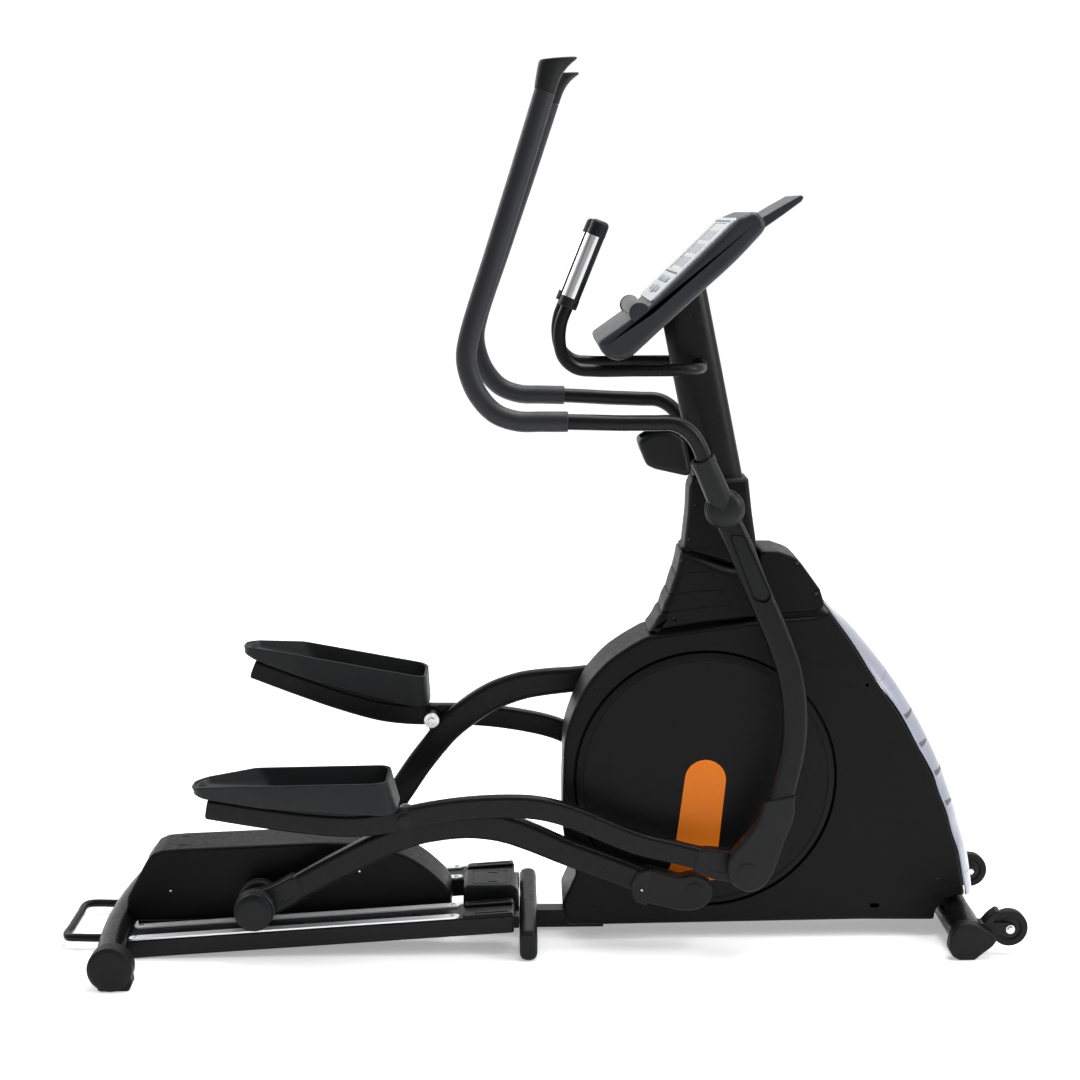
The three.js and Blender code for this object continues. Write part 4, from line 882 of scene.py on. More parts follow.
# the round bar across the foot of the face, with a disc at each end
bar = turn([(0, -188), (19, -188), (19, 188), (0, 188)], 8, (208.5, 1357.5), 40, k=6)
piece("console_bar", bar, "console", body="frame")
for side, s in (("right", -1), ("left", 1)):
    piece(side + "_bar_end", turn([(0, s * 187), (21.5, s * 187), (21.5, s * 194.5), (0, s * 195)], 4, (208.5, 1356), 40), "console", body="frame")

rack = plate(rnd([(462.5, 1528), (466, 1522), (505, 1549), (541, 1575), (546, 1584), (540, 1588), (500, 1566), (458, 1541.5)], [2, 3, 200, 6, 5, 3, 200, 2], 5), -120, 120, 3.5, k=5)
piece("reading_rack", rack, "console", "reading_rack")
piece("rack_lip", plate(rnd([(455, 1531), (461, 1525), (468, 1529), (463, 1543), (457, 1542)], 2, 4), -118, 118, 1.5), "face", body="frame")

# bottle holder: a round-bellied cup on the mast
HOLD = [(213, 1081), (219, 1060), (232, 1029), (250, 1020.5), (328, 1002.5), (311, 1085), (290, 1098), (262, 1104), (232, 1094)]
cup = plate(rnd(HOLD, [14, 60, 16, 40, 13, 14, 60, 60, 30], 6), -50, 50, 12, k=7)
cup_in = plate(rnd([(220, 1082), (226, 1063), (239, 1040), (256, 1031), (314, 1018), (298, 1150), (222, 1150)], [12, 60, 16, 40, 14, 12, 12], 5), -43, 43, 10, k=6)
cup = cut(cup, cup_in)
piece("bottle_holder", cup, "boot", "bottle_holder")

# pulse bar and its grips
half = [(64.4, -133, 1368), (52, -133, 1336), (48, -133, 1300), (56, -133, 1264), (82, -133, 1241), (120, -133, 1236), (200, -133, 1236), (285, -132, 1236), (325, -116, 1236), (341, -86, 1236), (344, -55, 1236), (344, -20, 1236)]
pulse = sweep(half + [(x, -y, z) for x, y, z in reversed(half)], circle(12.7, 32), n=170)
piece("pulse_bar", pulse, "paint", "pulse_bar", sharp=50)
both("pulse_bar_boss", turn([(12.9, -29), (18, -30), (16.5, -37), (13.2, -40)], 1.5, (344, 1236), 40, closed=True), "paint")
ga, gb = np.array((64.2, -133.0, 1367.6)), np.array((131.0, -133.0, 1531.0))
gd = (gb - ga) / np.linalg.norm(gb - ga)
core = fuse(rod(ga + gd * 1, gb, 18.7, ends=(2, 9), n=6), rod(ga, ga + gd * 17, 19.6, 19.6, ends=(2, 2)), rod(gb - gd * 22, gb - gd * 1, 19.4, 19.0, ends=(1, 9)))
both("pulse_grip_core", core, "boot")
sd = np.array([0.0, -1.0, 0.0])
up_ = np.cross(gd, sd)


def shell_plate(a0, a1):
    """A contact plate: part of a tube's wall, from angle a0 to a1 round the grip."""
    line = [ga + gd * (19 + (np.linalg.norm(gb - ga) - 43) * i / 10) for i in range(11)]
    sec = []
    n = 18
    for j in range(n + 1):
        a = math.radians(a0 + (a1 - a0) * j / n)
        r = 19.3 + (0.5 if j % 3 == 1 and 2 < j < n - 2 else 0.0)
        sec.append((r * math.cos(a), r * math.sin(a)))
    for j in range(n + 1):
        a = math.radians(a1 - (a1 - a0) * j / n)
        sec.append((18.2 * math.cos(a), 18.2 * math.sin(a)))
    return skin([[tuple(p + sd * u + up_ * v) for u, v in sec] for p in line])


grip_plates = join(shell_plate(-128, 22), shell_plate(100, 205))
both("pulse_grip", grip_plates, "chrome", "pulse_grip")

# ------------------------------------------------------------------ stabilizers, caps and handle

def rear_x(y):
    return -912 + 37 * (y / 364) ** 2


rear = sweep([(rear_x(y), y, 38) for y in range(-323, 324, 34)], circle(30, 48), n=40)
piece("rear_stabilizer", rear, "paint", "rear_stabilizer", sharp=50)
cap = turn([(0, -364), (38, -364), (46.4, -359), (46.4, -324), (33, -324), (33, -332), (0, -332)], [0, 5, 5, 1.5, 1, 1, 0], (-875.5, 46.4), 96, k=6)
foot = plate(rnd([(-905, 0), (-838, 0), (-830.5, 17), (-836, 50), (-890, 60)], [10, 8, 14, 20, 5], 5), -357, -325, 3)
cap = fuse(cap, foot)
both("rear_cap", cap, "rubber", "rear_cap")
both("rear_cap_collar", turn([(30.4, -319), (33.5, -319), (34, -325.5), (30.4, -325.5)], 0.8, (rear_x(322), 38), 64, closed=True), "boot")
hp = [(-900, -110, 24), (-930, -110, 24), (-960, -110, 24), (-990, -110, 25), (-1012, -107, 25), (-1020.6, -92, 25), (-1020.6, -50, 25), (-1020.6, 0, 25), (-1020.6, 50, 25), (-1020.6, 92, 25), (-1012, 107, 25), (-990, 110, 25), (-960, 110, 24), (-930, 110, 24), (-900, 110, 24)]
piece("rear_handle", sweep(hp, circle(8.7, 28), n=90), "paint", "rear_handle", sharp=50)
both("rear_handle_weld", moved(turn([(8.9, 0), (12.5, 0.5), (11, 6), (9, 8)], 1, (0, 0), 32, closed=True), Matrix.Translation(Vector((-931, -110, 24))) @ Matrix.Rotation(math.radians(90), 4, "Z")), "paint")

front = turn([(0, -206), (36, -206), (36, 206), (0, 206)], 0.5, (905, 42), 72)
saddle = [(926, 40), (949, 40), (952, 60), (946, 72), (926, 72)]


def wheel_bracket(s):
    y = s * 191
    ear = rnd([(930, 46), (985, 46), (1004, 52), (1004, 66), (985, 73), (950, 74), (930, 72)], [3, 14, 12, 12, 16, 10, 3], 6)
    gs = [plate(ear, y - 17, y - 13.6, 0.8), plate(ear, y + 13.6, y + 17, 0.8), plate(rnd(saddle, 3, 3), y - 17, y + 17, 1.5)]
    gs.append(plate(rnd([(940, 66), (952, 70), (972, 97), (962, 100), (945, 86), (934, 72)], [2, 8, 10, 10, 10, 2], 5), y - 17, y + 17, 2))
    return gs


piece("front_stabilizer", fuse(front, *wheel_bracket(-1), *wheel_bracket(1)), "paint", "front_stabilizer", sharp=36)
FCAP = [(856, 25), (860, 50), (868, 68), (880, 78), (896, 81.5), (916, 76), (937, 64), (954, 52), (958, 42), (949, 29), (930, 15), (912, 0), (880, 0), (866, 8)]
fline = rnd(FCAP, [20, 60, 60, 60, 60, 60, 60, 12, 8, 40, 60, 8, 8, 14], 6)
fcap = plate(fline, -233, -205.4, 5.5, 1.2, k=6)
both("front_cap", fcap, "rubber", "front_cap")

mid = plate(rnd([(-44, 66), (-44, 0.2), (-6, 0.2), (-6, 66)], 18.9, 8), -213, 213, 10, k=7)
piece("middle_stabilizer", mid, "boot", "middle_stabilizer")

# ------------------------------------------------------------------ rails, tracks and their covers

def rail_top(x):
    return track_top(x) - 4.35


def drop(x):
    return track_top(x) - 43.35


line = rnd([(-905, rail_top(-905)), (-905, 1), (-858, 1.2), (-835, drop(-835)), (-57, drop(-57)), (-57, rail_top(-57))], [2, 1, 30, 60, 3, 3], 5)
rail = plate(line, -176, -81, 3.5, k=5)
holes_ = [sweep([(rear_x(y), y, 38) for y in range(-340, 20, 40)], circle(30.6, 40), n=12)]
rail = cut(rail, *holes_)


def ridge_piece(y):
    x0, x1 = -165, -57.5
    top = [(x0, rail_top(x0) - 1), (x0 + 6, rail_top(x0) + 6), (x1 - 3, rail_top(x1) + 6), (x1, rail_top(x1) + 3), (x1, rail_top(x1) - 1)]
    g = plate(rnd(top, [0, 5, 2, 2, 0], 4), y - 13, y + 13, 3, k=4)
    groove = plate(rnd([(x0 + 26, rail_top(x0 + 26) + 4), (x1 - 10, rail_top(x1) + 3.4), (x1 - 10, rail_top(x1) + 9), (x0 + 26, rail_top(x0) + 12)], 1, 2), y - 3.2, y + 3.2, 0)
    return cut(g, groove)


stub = box(-60, -44.4, -148, -110, 50, 76, 2)
rail = fuse(rail, ridge_piece(-94), ridge_piece(-164), stub)
both("rail", rail, "paint", "rail", sharp=34)
both("rail_end_cap", plate(rnd([(-59, rail_top(-59) - 1), (-59, drop(-59) + 1), (-55.6, drop(-55) + 2), (-55.6, rail_top(-55) - 2)], 1, 3), -175, -82, 1.2), "boot")


def bar_on_rail(yc):
    """Flat bar with round ends, lying on the slope."""
    half_w = 11.0
    x0, x1 = -873.0, -171.0
    n = 14
    pts = [(x0 + half_w + half_w * math.cos(math.radians(90 + 180 * i / n)), half_w * math.sin(math.radians(90 + 180 * i / n))) for i in range(n + 1)]
    pts += [(x1 - half_w + half_w * math.cos(math.radians(-90 + 180 * i / n)), half_w * math.sin(math.radians(-90 + 180 * i / n))) for i in range(n + 1)]
    pts = dense(pts, 60)
    rings = []
    for h, d in ((-4.0, 0.4), (-3.6, 0), (-0.7, 0), (-0.2, 0.2), (0, 0.7)):
        q = inset(pts, d) if d else pts
        rings.append([(x, yc + y, track_top(x) + h) for x, y in q])
    return skin(rings)


for name, y in (("inner_track", -94), ("outer_track", -164)):
    both(name, bar_on_rail(y), "aluminium", name)
    for k, x in enumerate((-859, -186)):
        s = moved(screw(0, 0, 0, 5.2, 2.4), Matrix.Translation(Vector((x, y, track_top(x) - 0.3))) @ Matrix.Rotation(math.radians(-90), 4, "X") @ Matrix.Identity(4))
        both("%s_screw_%d" % (name, k), s, "zinc")

RC = [(-878, 42), (-897, 66), (-895, 96), (-850, 177), (-838, 193), (-818, 201), (-780, 204), (-616, 210), (-452, 216), (-380, 211), (-301, 192), (-248, 160), (-205, 118), (-194, 96), (-192, 60), (-200, 42)]
RC_R = [3, 14, 40, 60, 20, 30, 60, 900, 900, 900, 900, 900, 400, 30, 20, 3]
rc = plate(rnd(RC, RC_R, 6), -62, 62, 7, k=6)
rc = cut(rc, plate(inset(rnd(RC, RC_R, 3), 4), -58, 58, 1.5, k=2), box(-890, -196, -58, 58, 30, 60, 0.5),
         sweep([(rear_x(y), y, 38) for y in range(-120, 121, 40)], circle(31.2, 40), n=8),
         box(-786, -768, -34, -29, 190, 230, 0.8), box(-786, -768, 29, 34, 190, 230, 0.8),
         hole(-390, 150, 3.4, -70, -55), hole(-390, 150, 3.4, 55, 70), hole(-800, 110, 3.4, -70, -55), hole(-800, 110, 3.4, 55, 70))
piece("rear_cover", rc, "casing", "rear_cover")
both("rear_cover_screw", join(screw(-390, 150, -59.5, 3.2, 1.0), screw(-800, 110, -59.5, 3.2, 1.0)), "zinc")

CC = [(-166, 42), (-166, 106), (-157, 114.5), (-60, 114.5), (-48, 104), (-45, 70), (-45, 42)]
cc = plate(rnd(CC, [2, 10, 10, 12, 14, 20, 2], 6), -55, 55, 6, k=6)
cc = cut(cc, plate([(-161, 30), (-161, 106), (-155, 110), (-62, 110), (-52, 102), (-49, 69), (-49, 30)], -51, 51, 1),
         *[box(-112, -92, y - 2.5, y + 2.5, 105, 130, 0.8) for y in (-30, 30)],
         cut(plate(rnd([(-146, 113.2), (-70, 113.2), (-70, 130), (-146, 130)], 1, 2), -44, 44, 0), plate(rnd([(-143, 100), (-73, 100), (-73, 140), (-143, 140)], 1, 2), -41, 41, 0)))
piece("centre_cover", cc, "boot", "centre_cover")

spine = box(-880, -44.4, -25, 25, 12, 40, 3)
piece("spine_beam", spine, "paint", "spine_beam")

# ------------------------------------------------------------------ transport wheels

def wheel(y0):
    s = 1
    tyre = turn([(24, y0 - 11.6), (37.2, y0 - 11.8), (39, y0 - 9), (39, y0 + 9), (37.2, y0 + 11.8), (24, y0 + 11.6), (24, y0 - 11.6)][:-1], 2.4, (990.5, 58.7), 72, closed=True)
    hub = turn([(6.6, y0 - 12), (11, y0 - 12), (12, y0 - 8.5), (22.5, y0 - 8), (24.6, y0 - 10.8), (24.6, y0 + 10.8), (22.5, y0 + 8), (12, y0 + 8.5), (11, y0 + 12), (6.6, y0 + 12)], 1.0, (990.5, 58.7), 64, closed=True)
    return tyre, hub


for side, s in (("right", -1), ("left", 1)):
    tyre, hub = wheel(s * 191)
    body = side + "_transport_wheel"
    piece(side + "_transport_tyre", tyre, "rubber", side + "_transport_wheel")
    piece(side + "_transport_hub", hub, "boot", body=body)
    bolt = join(turn([(0, s * 208), (7.6, s * 208), (7.6, s * 213), (6, s * 214), (0, s * 214)], 0.8, (990.5, 58.7), 6, k=2),
                turn([(0, s * 174), (7.6, s * 174), (7.6, s * 169), (6, s * 168.5), (0, s * 168.5)], 0.8, (990.5, 58.7), 6, k=2),
                cyl(990.5, 58.7, 9.5, *sorted((s * 207.6, s * 209)), 0.4, 40), cyl(990.5, 58.7, 5.8, *sorted((s * 173, s * 209)), 0.3, 24))
    piece(side + "_transport_bolt", bolt, "zinc", body="frame", sharp=28)

# ------------------------------------------------------------------ rollers

roller = []
for yc in (-94.0, -164.0):
    roller.append(turn([(8.6, yc - 12), (15, yc - 12), (17, yc - 9.5), (29, yc - 9.5), (31.5, yc - 13.5), (38.5, yc - 14.2), (ROLLER_R - 0.1, yc - 11), (ROLLER_R - 0.1, yc + 11),
                        (38.5, yc + 14.2), (31.5, yc + 13.5), (29, yc + 9.5), (17, yc + 9.5), (15, yc + 12), (8.6, yc + 12)], 2.2, (0, 0), 72, closed=True))
legs("rollers", join(*roller), "urethane", "rollers", "roller", "rollers")
legs("roller_sleeve", turn([(8.7, -106.5), (10.9, -106.5), (10.9, -113.4), (8.7, -113.4)], 0.3, (0, 0), 40, closed=True), "zinc", "rollers", "roller")
dome = turn([(0, -196), (30, -195), (39.5, -190), (41.6, -184), (41.6, -180.2), (0, -180.2)], [0, 16, 6, 3, 0.6, 0], (0, 0), 96, k=6)
axle = join(dome, cyl(0, 0, 7.9, -181, -76, 0.6, 32), turn([(0, -74), (12.5, -74), (14, -75.5), (14, -79), (0, -79)], 0.8, (0, 0), 6, k=2))
legs("roller_axle", axle, "boot", "carriage", "roller", "roller_axle")

# ------------------------------------------------------------------ rail arms

AM = -131.0
arm_line = [(8, 2), (40, 9), (81, 30), (138, 60), (195, 88), (245, 112), (300, 134), (345, 150), (393, 159), (440, 163), (485, 161), (540, 149), (590, 129), (655, 98), (740, 62), (800, 36), (847, 14)]
arm = sweep([(x, AM, z) for x, z in arm_line], lambda t: rrect(32, 57 + 6 * math.sin(math.pi * min(1, max(0, (t - 0.35) / 0.4))), 12, 5), n=110)
arm = fuse(arm, turn([(0, -114), (29, -114), (30, -116), (30, -146), (29, -148), (0, -148)], 1.5, (0, 0), 64), cyl(Q[0], Q[1], 17, -148, -114, 1.6, 48),
           plate(rnd([(306, 148), (346, 152), (340, 192), (312, 190)], 3, 3), -143, -119, 3), cyl(LINK, 0, 30, -147, -115, 1.5, 48))
arm = cut(arm, hole(0, 0, 12.6, -200, -50), hole(Q[0], Q[1], 10.6, -200, -50))
legs("rail_arm", arm, "paint", "rail_arm", "rail_arm", "rail_arm", sharp=34)
pin = turn([(0, -90.2), (14.5, -90.2), (16, -92), (16, -116), (0, -116)], 1.0, (LINK, 0), 48)
legs("crank_pin_stub", pin, "steel", "rail_arm", "rail_arm")
# moulded boot on the crank end: a collar, a long shell and a round bulge over the pin
boot = plate(rnd([(806, -14), (850, -26), (900, -40), (934, -42), (965, -28), (976, 0), (965, 28), (934, 42), (905, 34), (880, 42), (846, 54), (816, 46), (800, 16)], [8, 30, 60, 60, 60, 60, 60, 60, 20, 30, 20, 10, 20], 6), -149.4, -113.4, 6, k=6)
bulge = turn([(0, -152.2), (18, -151.6), (33, -147), (38, -140), (38, -120), (0, -120)], [0, 20, 10, 6, 1, 0], (LINK, 0), 80, k=6)
collar = plate(rnd([(796, 20), (806, -16), (832, -26), (838, 6), (846, 56), (812, 50)], [5, 6, 6, 60, 6, 6], 5), -151.2, -111.8, 5, k=5)
boot = cut(fuse(boot, bulge, collar), hole(LINK, 0, 16.3, -116, -90), moved(G(), (0, 0, 0)) if False else hole(822, 8, 3.6, -156, -147))
legs("rail_arm_boot", boot, "boot", "rail_arm", "rail_arm", sharp=36)
legs("rail_arm_boot_screw", screw(822, 8, -148.6, 3.3, 0.9), "zinc", "rail_arm", "rail_arm")
# moulded fork cover at the roller end
fork = plate(rnd([(-30, -22), (-8, -34), (20, -30), (60, -8), (92, 8), (104, 26), (92, 60), (78, 64), (44, 46), (14, 36), (-12, 32), (-34, 12)], [20, 30, 40, 60, 20, 12, 8, 10, 60, 60, 30, 30], 6), -150.6, -111.8, 6, k=6)
fork = cut(fork, hole(0, 0, 12.7, -200, -50), plate(rnd([(60, 6), (88, 20), (84, 46), (56, 34)], 5, 4), -154, -149.2, 0), plate(rnd([(60, 6), (88, 20), (84, 46), (56, 34)], 5, 4), -113.2, -108, 0))
legs("roller_fork", fork, "boot", "rail_arm", "rail_arm", sharp=36)

# ------------------------------------------------------------------ pedal arms and pedals

PM = -167.5
ped_line = [(-410, -35), (-300, -37), (-200, -36), (-110, -29), (-50, -15), (0, 2), (60, 23), (130, 43), (200, 57), (260, 64), (310, 62), (368, 51), (430, 34), (492, 19), (577, 10), (660, 2), (700, 0)]
ped = sweep([(x, PM, z) for x, z in ped_line], lambda t: rrect(28, 45 + 4 * min(1, t / 0.35) - 4 * max(0, (t - 0.6)), 9, 5), n=110, ends=(5, 0))
ped = fuse(ped, cyl(0, 0, 24, -182, -153, 2.5, 64), cyl(724, 0, 26, -181, -154, 2, 64))
legs("pedal_arm", ped, "paint", "pedal_arm", "pedal_arm", "pedal_arm", sharp=34)
legs("pedal_pivot_cap", turn([(0, -181.5), (15.5, -181.5), (15.5, -184.4), (12, -186.6), (0, -187.2)], 1.2, (0, 0), 48), "boot", "pedal_arm", "pedal_arm")
bolt = join(turn([(0, -103.4), (8, -103.4), (8, -112), (0, -112)], 0.8, (0, 0), 6, k=2), cyl(0, 0, 10, -154, -111, 0.5, 40), cyl(0, 0, 17, -113, -109.2, 0.8, 48))
legs("pedal_pivot_bolt", bolt, "zinc", "pedal_arm", "pedal_arm", sharp=28)
pboot = plate(rnd([(616, -20), (660, -34), (724, -36), (752, -22), (760, 0), (752, 22), (724, 35), (690, 32), (640, 30), (620, 26)], [6, 40, 60, 60, 60, 60, 60, 60, 30, 6], 6), -183.4, -151.8, 5, k=6)
legs("pedal_arm_boot", cut(pboot, plate(rnd([(646, -14), (688, -18), (688, 14), (652, 16)], 6, 4), -190, -182.3, 0)), "boot", "pedal_arm", "pedal_arm", sharp=36)

# tray: its plan outline, flared from the bottom edge to the rim
def plan(x):
    """Half width of the tray at x."""
    return float(np.interp(x, [-452, -430, -340, -17], [38, 48, 73, 74.5]))


def tray_loop(level, shrink):
    """The tray's outline in plan at a level: 0 is the bottom edge and 1 the rim."""
    x0, x1, w = -446 - 4 * level, -17 - 26 * level, 72 + 2.5 * level
    pts = rnd([(x0, -165.5 - 36), (x1 - 280, -165.5 - w), (x1, -165.5 - w), (x1, -165.5 + w), (x1 - 280, -165.5 + w), (x0, -165.5 + 36)],
              [40, 70, 36, 36, 70, 40], 9)
    return inset(pts, shrink) if shrink else pts


def rim_z(x):
    """Height of the rim line: low at the nose, then straight to the front wall."""
    p = [(-460, 11), (-440, 15), (-410, 25), (-368, 39), (-225, 62), (-82, 86), (-17, 98)]
    return float(np.interp(x, [q[0] for q in p], [q[1] for q in p]))


def low_z(x):
    p = [(-460, 2), (-440, -4), (-405, -7), (-240, 4), (-80, 14), (-20, 25), (0, 30)]
    return float(np.interp(x, [q[0] for q in p], [q[1] for q in p]))


def floor_z(x):
    p = [(-460, 6), (-440, 6), (-410, 7), (-240, 14), (-80, 27), (-30, 36), (0, 40)]
    return float(np.interp(x, [q[0] for q in p], [q[1] for q in p]))


def tray():
    rings = []
    o0, o1 = tray_loop(0, 0), tray_loop(1, 0)
    i1, i0 = tray_loop(1, 7.0), tray_loop(0, 12.0)
    base = tray_loop(0, 6)
    n = len(o0)

    def zip_ring(a, za, b=None, share=0.0, dz=0.0):
        out = []
        for k in range(n):
            x, y = a[k] if b is None else (a[k][0] + (b[k][0] - a[k][0]) * share, a[k][1] + (b[k][1] - a[k][1]) * share)
            out.append((x, y, za(x) + dz))
        return out

    rings.append(zip_ring(base, low_z))
    rings.append(zip_ring(tray_loop(0, 1.2), low_z, dz=1.5))
    rings.append(zip_ring(o0, low_z, dz=5))
    for s in (0.25, 0.5, 0.75):
        ring = []
        for k in range(n):
            x = o0[k][0] + (o1[k][0] - o0[k][0]) * s
            y = o0[k][1] + (o1[k][1] - o0[k][1]) * s
            z0, z1 = low_z(x) + 5, rim_z(x) - 3.5
            ring.append((x, y, z0 + (z1 - z0) * s))
        rings.append(ring)
    rings.append(zip_ring(o1, rim_z, dz=-3.2))
    rings.append(zip_ring(tray_loop(1, 0.9), rim_z, dz=-0.9))
    rings.append(zip_ring(tray_loop(1, 3.0), rim_z, dz=0))
    rings.append(zip_ring(tray_loop(1, 5.6), rim_z, dz=-0.7))
    rings.append(zip_ring(i1, rim_z, dz=-3.0))
    for s in (0.35, 0.7):
        ring = []
        for k in range(n):
            x = i1[k][0] + (i0[k][0] - i1[k][0]) * s
            y = i1[k][1] + (i0[k][1] - i1[k][1]) * s
            z1, z0 = min(rim_z(x) - 3, 400), floor_z(x) + 5
            z1 = max(z1, z0 + 0.3)
            ring.append((x, y, z1 + (z0 - z1) * s))
        rings.append(ring)
    rings.append([(x, y, floor_z(x) + 2.5) for x, y in tray_loop(0, 13)])
    rings.append([(x, y, floor_z(x)) for x, y in tray_loop(0, 17)])
    return skin(rings)


TR = tray()
legs("pedal", TR, "pedal", "pedal_arm", "pedal_arm", "pedal", sharp=38)
# anti-slip mat with raised bars, and the nose roundel
def mat_loop(shrink):
    loop = tray_loop(0, 19 + shrink)
    return loop


mt = [[(x, y, floor_z(x) - 0.5) for x, y in mat_loop(0)], [(x, y, floor_z(x) + 1.6) for x, y in mat_loop(0)], [(x, y, floor_z(x) + 2.2) for x, y in mat_loop(0.8)]]
bars = [skin(mt)]
x = -384.0
row = 0
while x < -60:
    w = plan(x) - 30
    count = max(1, int((2 * w + 6) // 19))
    for c in range(count):
        y = -165.5 + (c - (count - 1) / 2) * 19
        z = floor_z(x) + 2.0
        tilt = 1 if (row + c) % 2 == 0 else -1
        pts = rnd([(-6.5, -2.0), (6.5, -2.0), (6.5, 2.0), (-6.5, 2.0)], 2, 3)
        ang = math.radians(45 * tilt)
        lo = [(x + p * math.cos(ang) - q * math.sin(ang), y + p * math.sin(ang) + q * math.cos(ang), z - 0.4) for p, q in pts]
        hi = [(x + 0.86 * (p * math.cos(ang) - q * math.sin(ang)), y + 0.86 * (p * math.sin(ang) + q * math.cos(ang)), z + 1.7) for p, q in pts]
        bars.append(skin([lo, hi]))
    x += 15.5
    row += 1
legs("pedal_mat", join(*bars), "tread", "pedal_arm", "pedal_arm", sharp=30)
ring_ = []
tilt = Matrix.Translation(Vector((-421, -165.5, 9.3))) @ Matrix.Rotation(math.radians(90), 4, "X")
for r0, r1 in ((13, 15.5), (7, 9)):
    ring_.append(moved(turn([(r0, 0), (r1, 0), (r1, -1.6), (r0, -1.6)], 0.5, (0, 0), 48, closed=True), tilt))
legs("pedal_roundel", join(*ring_), "pedal", "pedal_arm", "pedal_arm")
# bracket under the tray
ub = plate(rnd([(-396, -18), (-52, -18), (-42, 4), (-60, 16), (-240, 4), (-396, -5)], [3, 10, 8, 10, 300, 3], 4), -178, -156, 1.5, k=3)
legs("pedal_bracket", ub, "paint", "pedal_arm", "pedal_arm")

# ------------------------------------------------------------------ swing arms

SY = -201.5
SX, SZ = 52.5, -770.2
low_line = [(4, -18), (31, -73), (67, -165), (106, -255), (135, -335), (149, -413), (149, -495), (133, -577), (117, -640), (92, -705), (66, -750)]
arm2 = sweep([(x, SY, z) for x, z in low_line], lambda t: rrect(28, 50 + 2 * math.sin(math.pi * t), 12, 6), n=120)
hub = turn([(0, -187), (36, -187), (37.5, -189), (37.5, -219), (0, -219)], 1.5, (0, 0), 72)
arm2 = fuse(arm2, hub, cyl(SX, SZ, 30, -215, -188, 2, 64))
arm2 = cut(arm2, hole(0, 0, 15.8, -216, -100),
           plate(rnd([(7, -50), (42, -54), (99, -180), (86, -198), (60, -188)], [14, 14, 14, 14, 14], 7), -222, -206.0, 0))
legs("swing_arm", arm2, "paint", "swing_arm", "swing_arm", "swing_arm", sharp=34)
pocket = plate(inset(rnd([(7, -50), (42, -54), (99, -180), (86, -198), (60, -188)], [14, 14, 14, 14, 14], 7), 3.2), -208.6, -204, 1.0, 0.4)
legs("swing_pocket", pocket, "boot", "swing_arm", "swing_arm")
domec = turn([(0, -241), (14, -240.2), (30, -234.5), (37, -228), (38, -222), (38, -216.5), (0, -216.5)], [0, 30, 20, 8, 5, 0.8, 0], (0, 0), 96, k=6)
legs("pivot_cap", domec, "boot", "swing_arm", "swing_arm")
legs("pivot_cap_rim", turn([(38.2, -213.5), (40.4, -213.5), (41, -217), (40, -221), (38.4, -222)], 0.9, (0, 0), 96, closed=True), "boot", "swing_arm", "swing_arm")
handle_line = [(-14, -226, 24), (-22, -228, 50), (-35, -233, 82), (-44, -236, 104), (-56, -240, 134), (-76, -244, 161), (-106, -248, 178), (-149, -252, 180), (-215, -257, 181), (-270, -260, 183), (-334, -262, 185)]
tube = sweep(handle_line, circle(16, 40), n=90)
legs("handle_tube", tube, "paint", "swing_arm", "swing_arm", sharp=50)
ca, cb = np.array((-4.0, -214.0, 6.0)), np.array((-47.0, -234.5, 103.0))
cd = (cb - ca) / np.linalg.norm(cb - ca)
coll = fuse(rod(ca, cb, 26.5, 24.0, ends=(3, 2.5), seg=56, n=6), rod(cb - cd * 9, cb + cd * 1, 26.0, 25.6, ends=(2, 2), seg=56),
            plate(rnd([(-32, 10), (-30, -14), (-8, -36), (20, -36), (36, -12), (34, 14), (6, 40), (-20, 52)], [12, 20, 30, 30, 20, 20, 30, 20], 6), -228, -188, 7, k=5))
coll = cut(coll, rod(cb - cd * 5, cb + cd * 8, 19.0, 19.0, ends=(0.1, 0.1)), hole(0, 0, 15.9, -200, -100))
sc = ca + (cb - ca) * 0.22
legs("handle_collar", coll, "boot", "swing_arm", "swing_arm", sharp=36)
legs("handle_collar_screw", moved(screw(0, 0, 0, 4.6, 1.4), Matrix.Translation(Vector((21, -224.0, 30)))), "black_screw", "swing_arm", "swing_arm")
# boot round the lower joint
lb = [(88, -618), (151, -604), (152, -640), (146, -668), (131, -704), (120, -740), (108, -772), (90, -800), (62, -814), (30, -803), (12, -776), (12, -745), (25, -722), (38, -706), (60, -680), (76, -655)]
lboot = plate(rnd(lb, [8, 8, 40, 60, 60, 60, 60, 60, 60, 60, 60, 60, 60, 60, 60, 60], 6), -218.4, -185.4, 6.5, k=7)
lip = plate(rnd([(86.5, -625), (88.5, -616), (152, -602), (153.5, -612)], 4, 4), -219.8, -184.2, 3.0, k=4)
swell = turn([(0, -221.5), (20, -220.5), (34, -216), (39, -209), (39, -190), (0, -190)], [0, 20, 14, 8, 1, 0], (SX, SZ), 96, k=6)
lboot = fuse(lboot, lip, swell)
lboot = cut(lboot, plate(strip([tuple(p) for p in curve([(34, -722), (50, -700), (72, -672), (88, -650)], 12)], 2.0), -225, -217.4, 0))
legs("swing_boot", lboot, "boot", "swing_arm", "swing_arm", sharp=36)

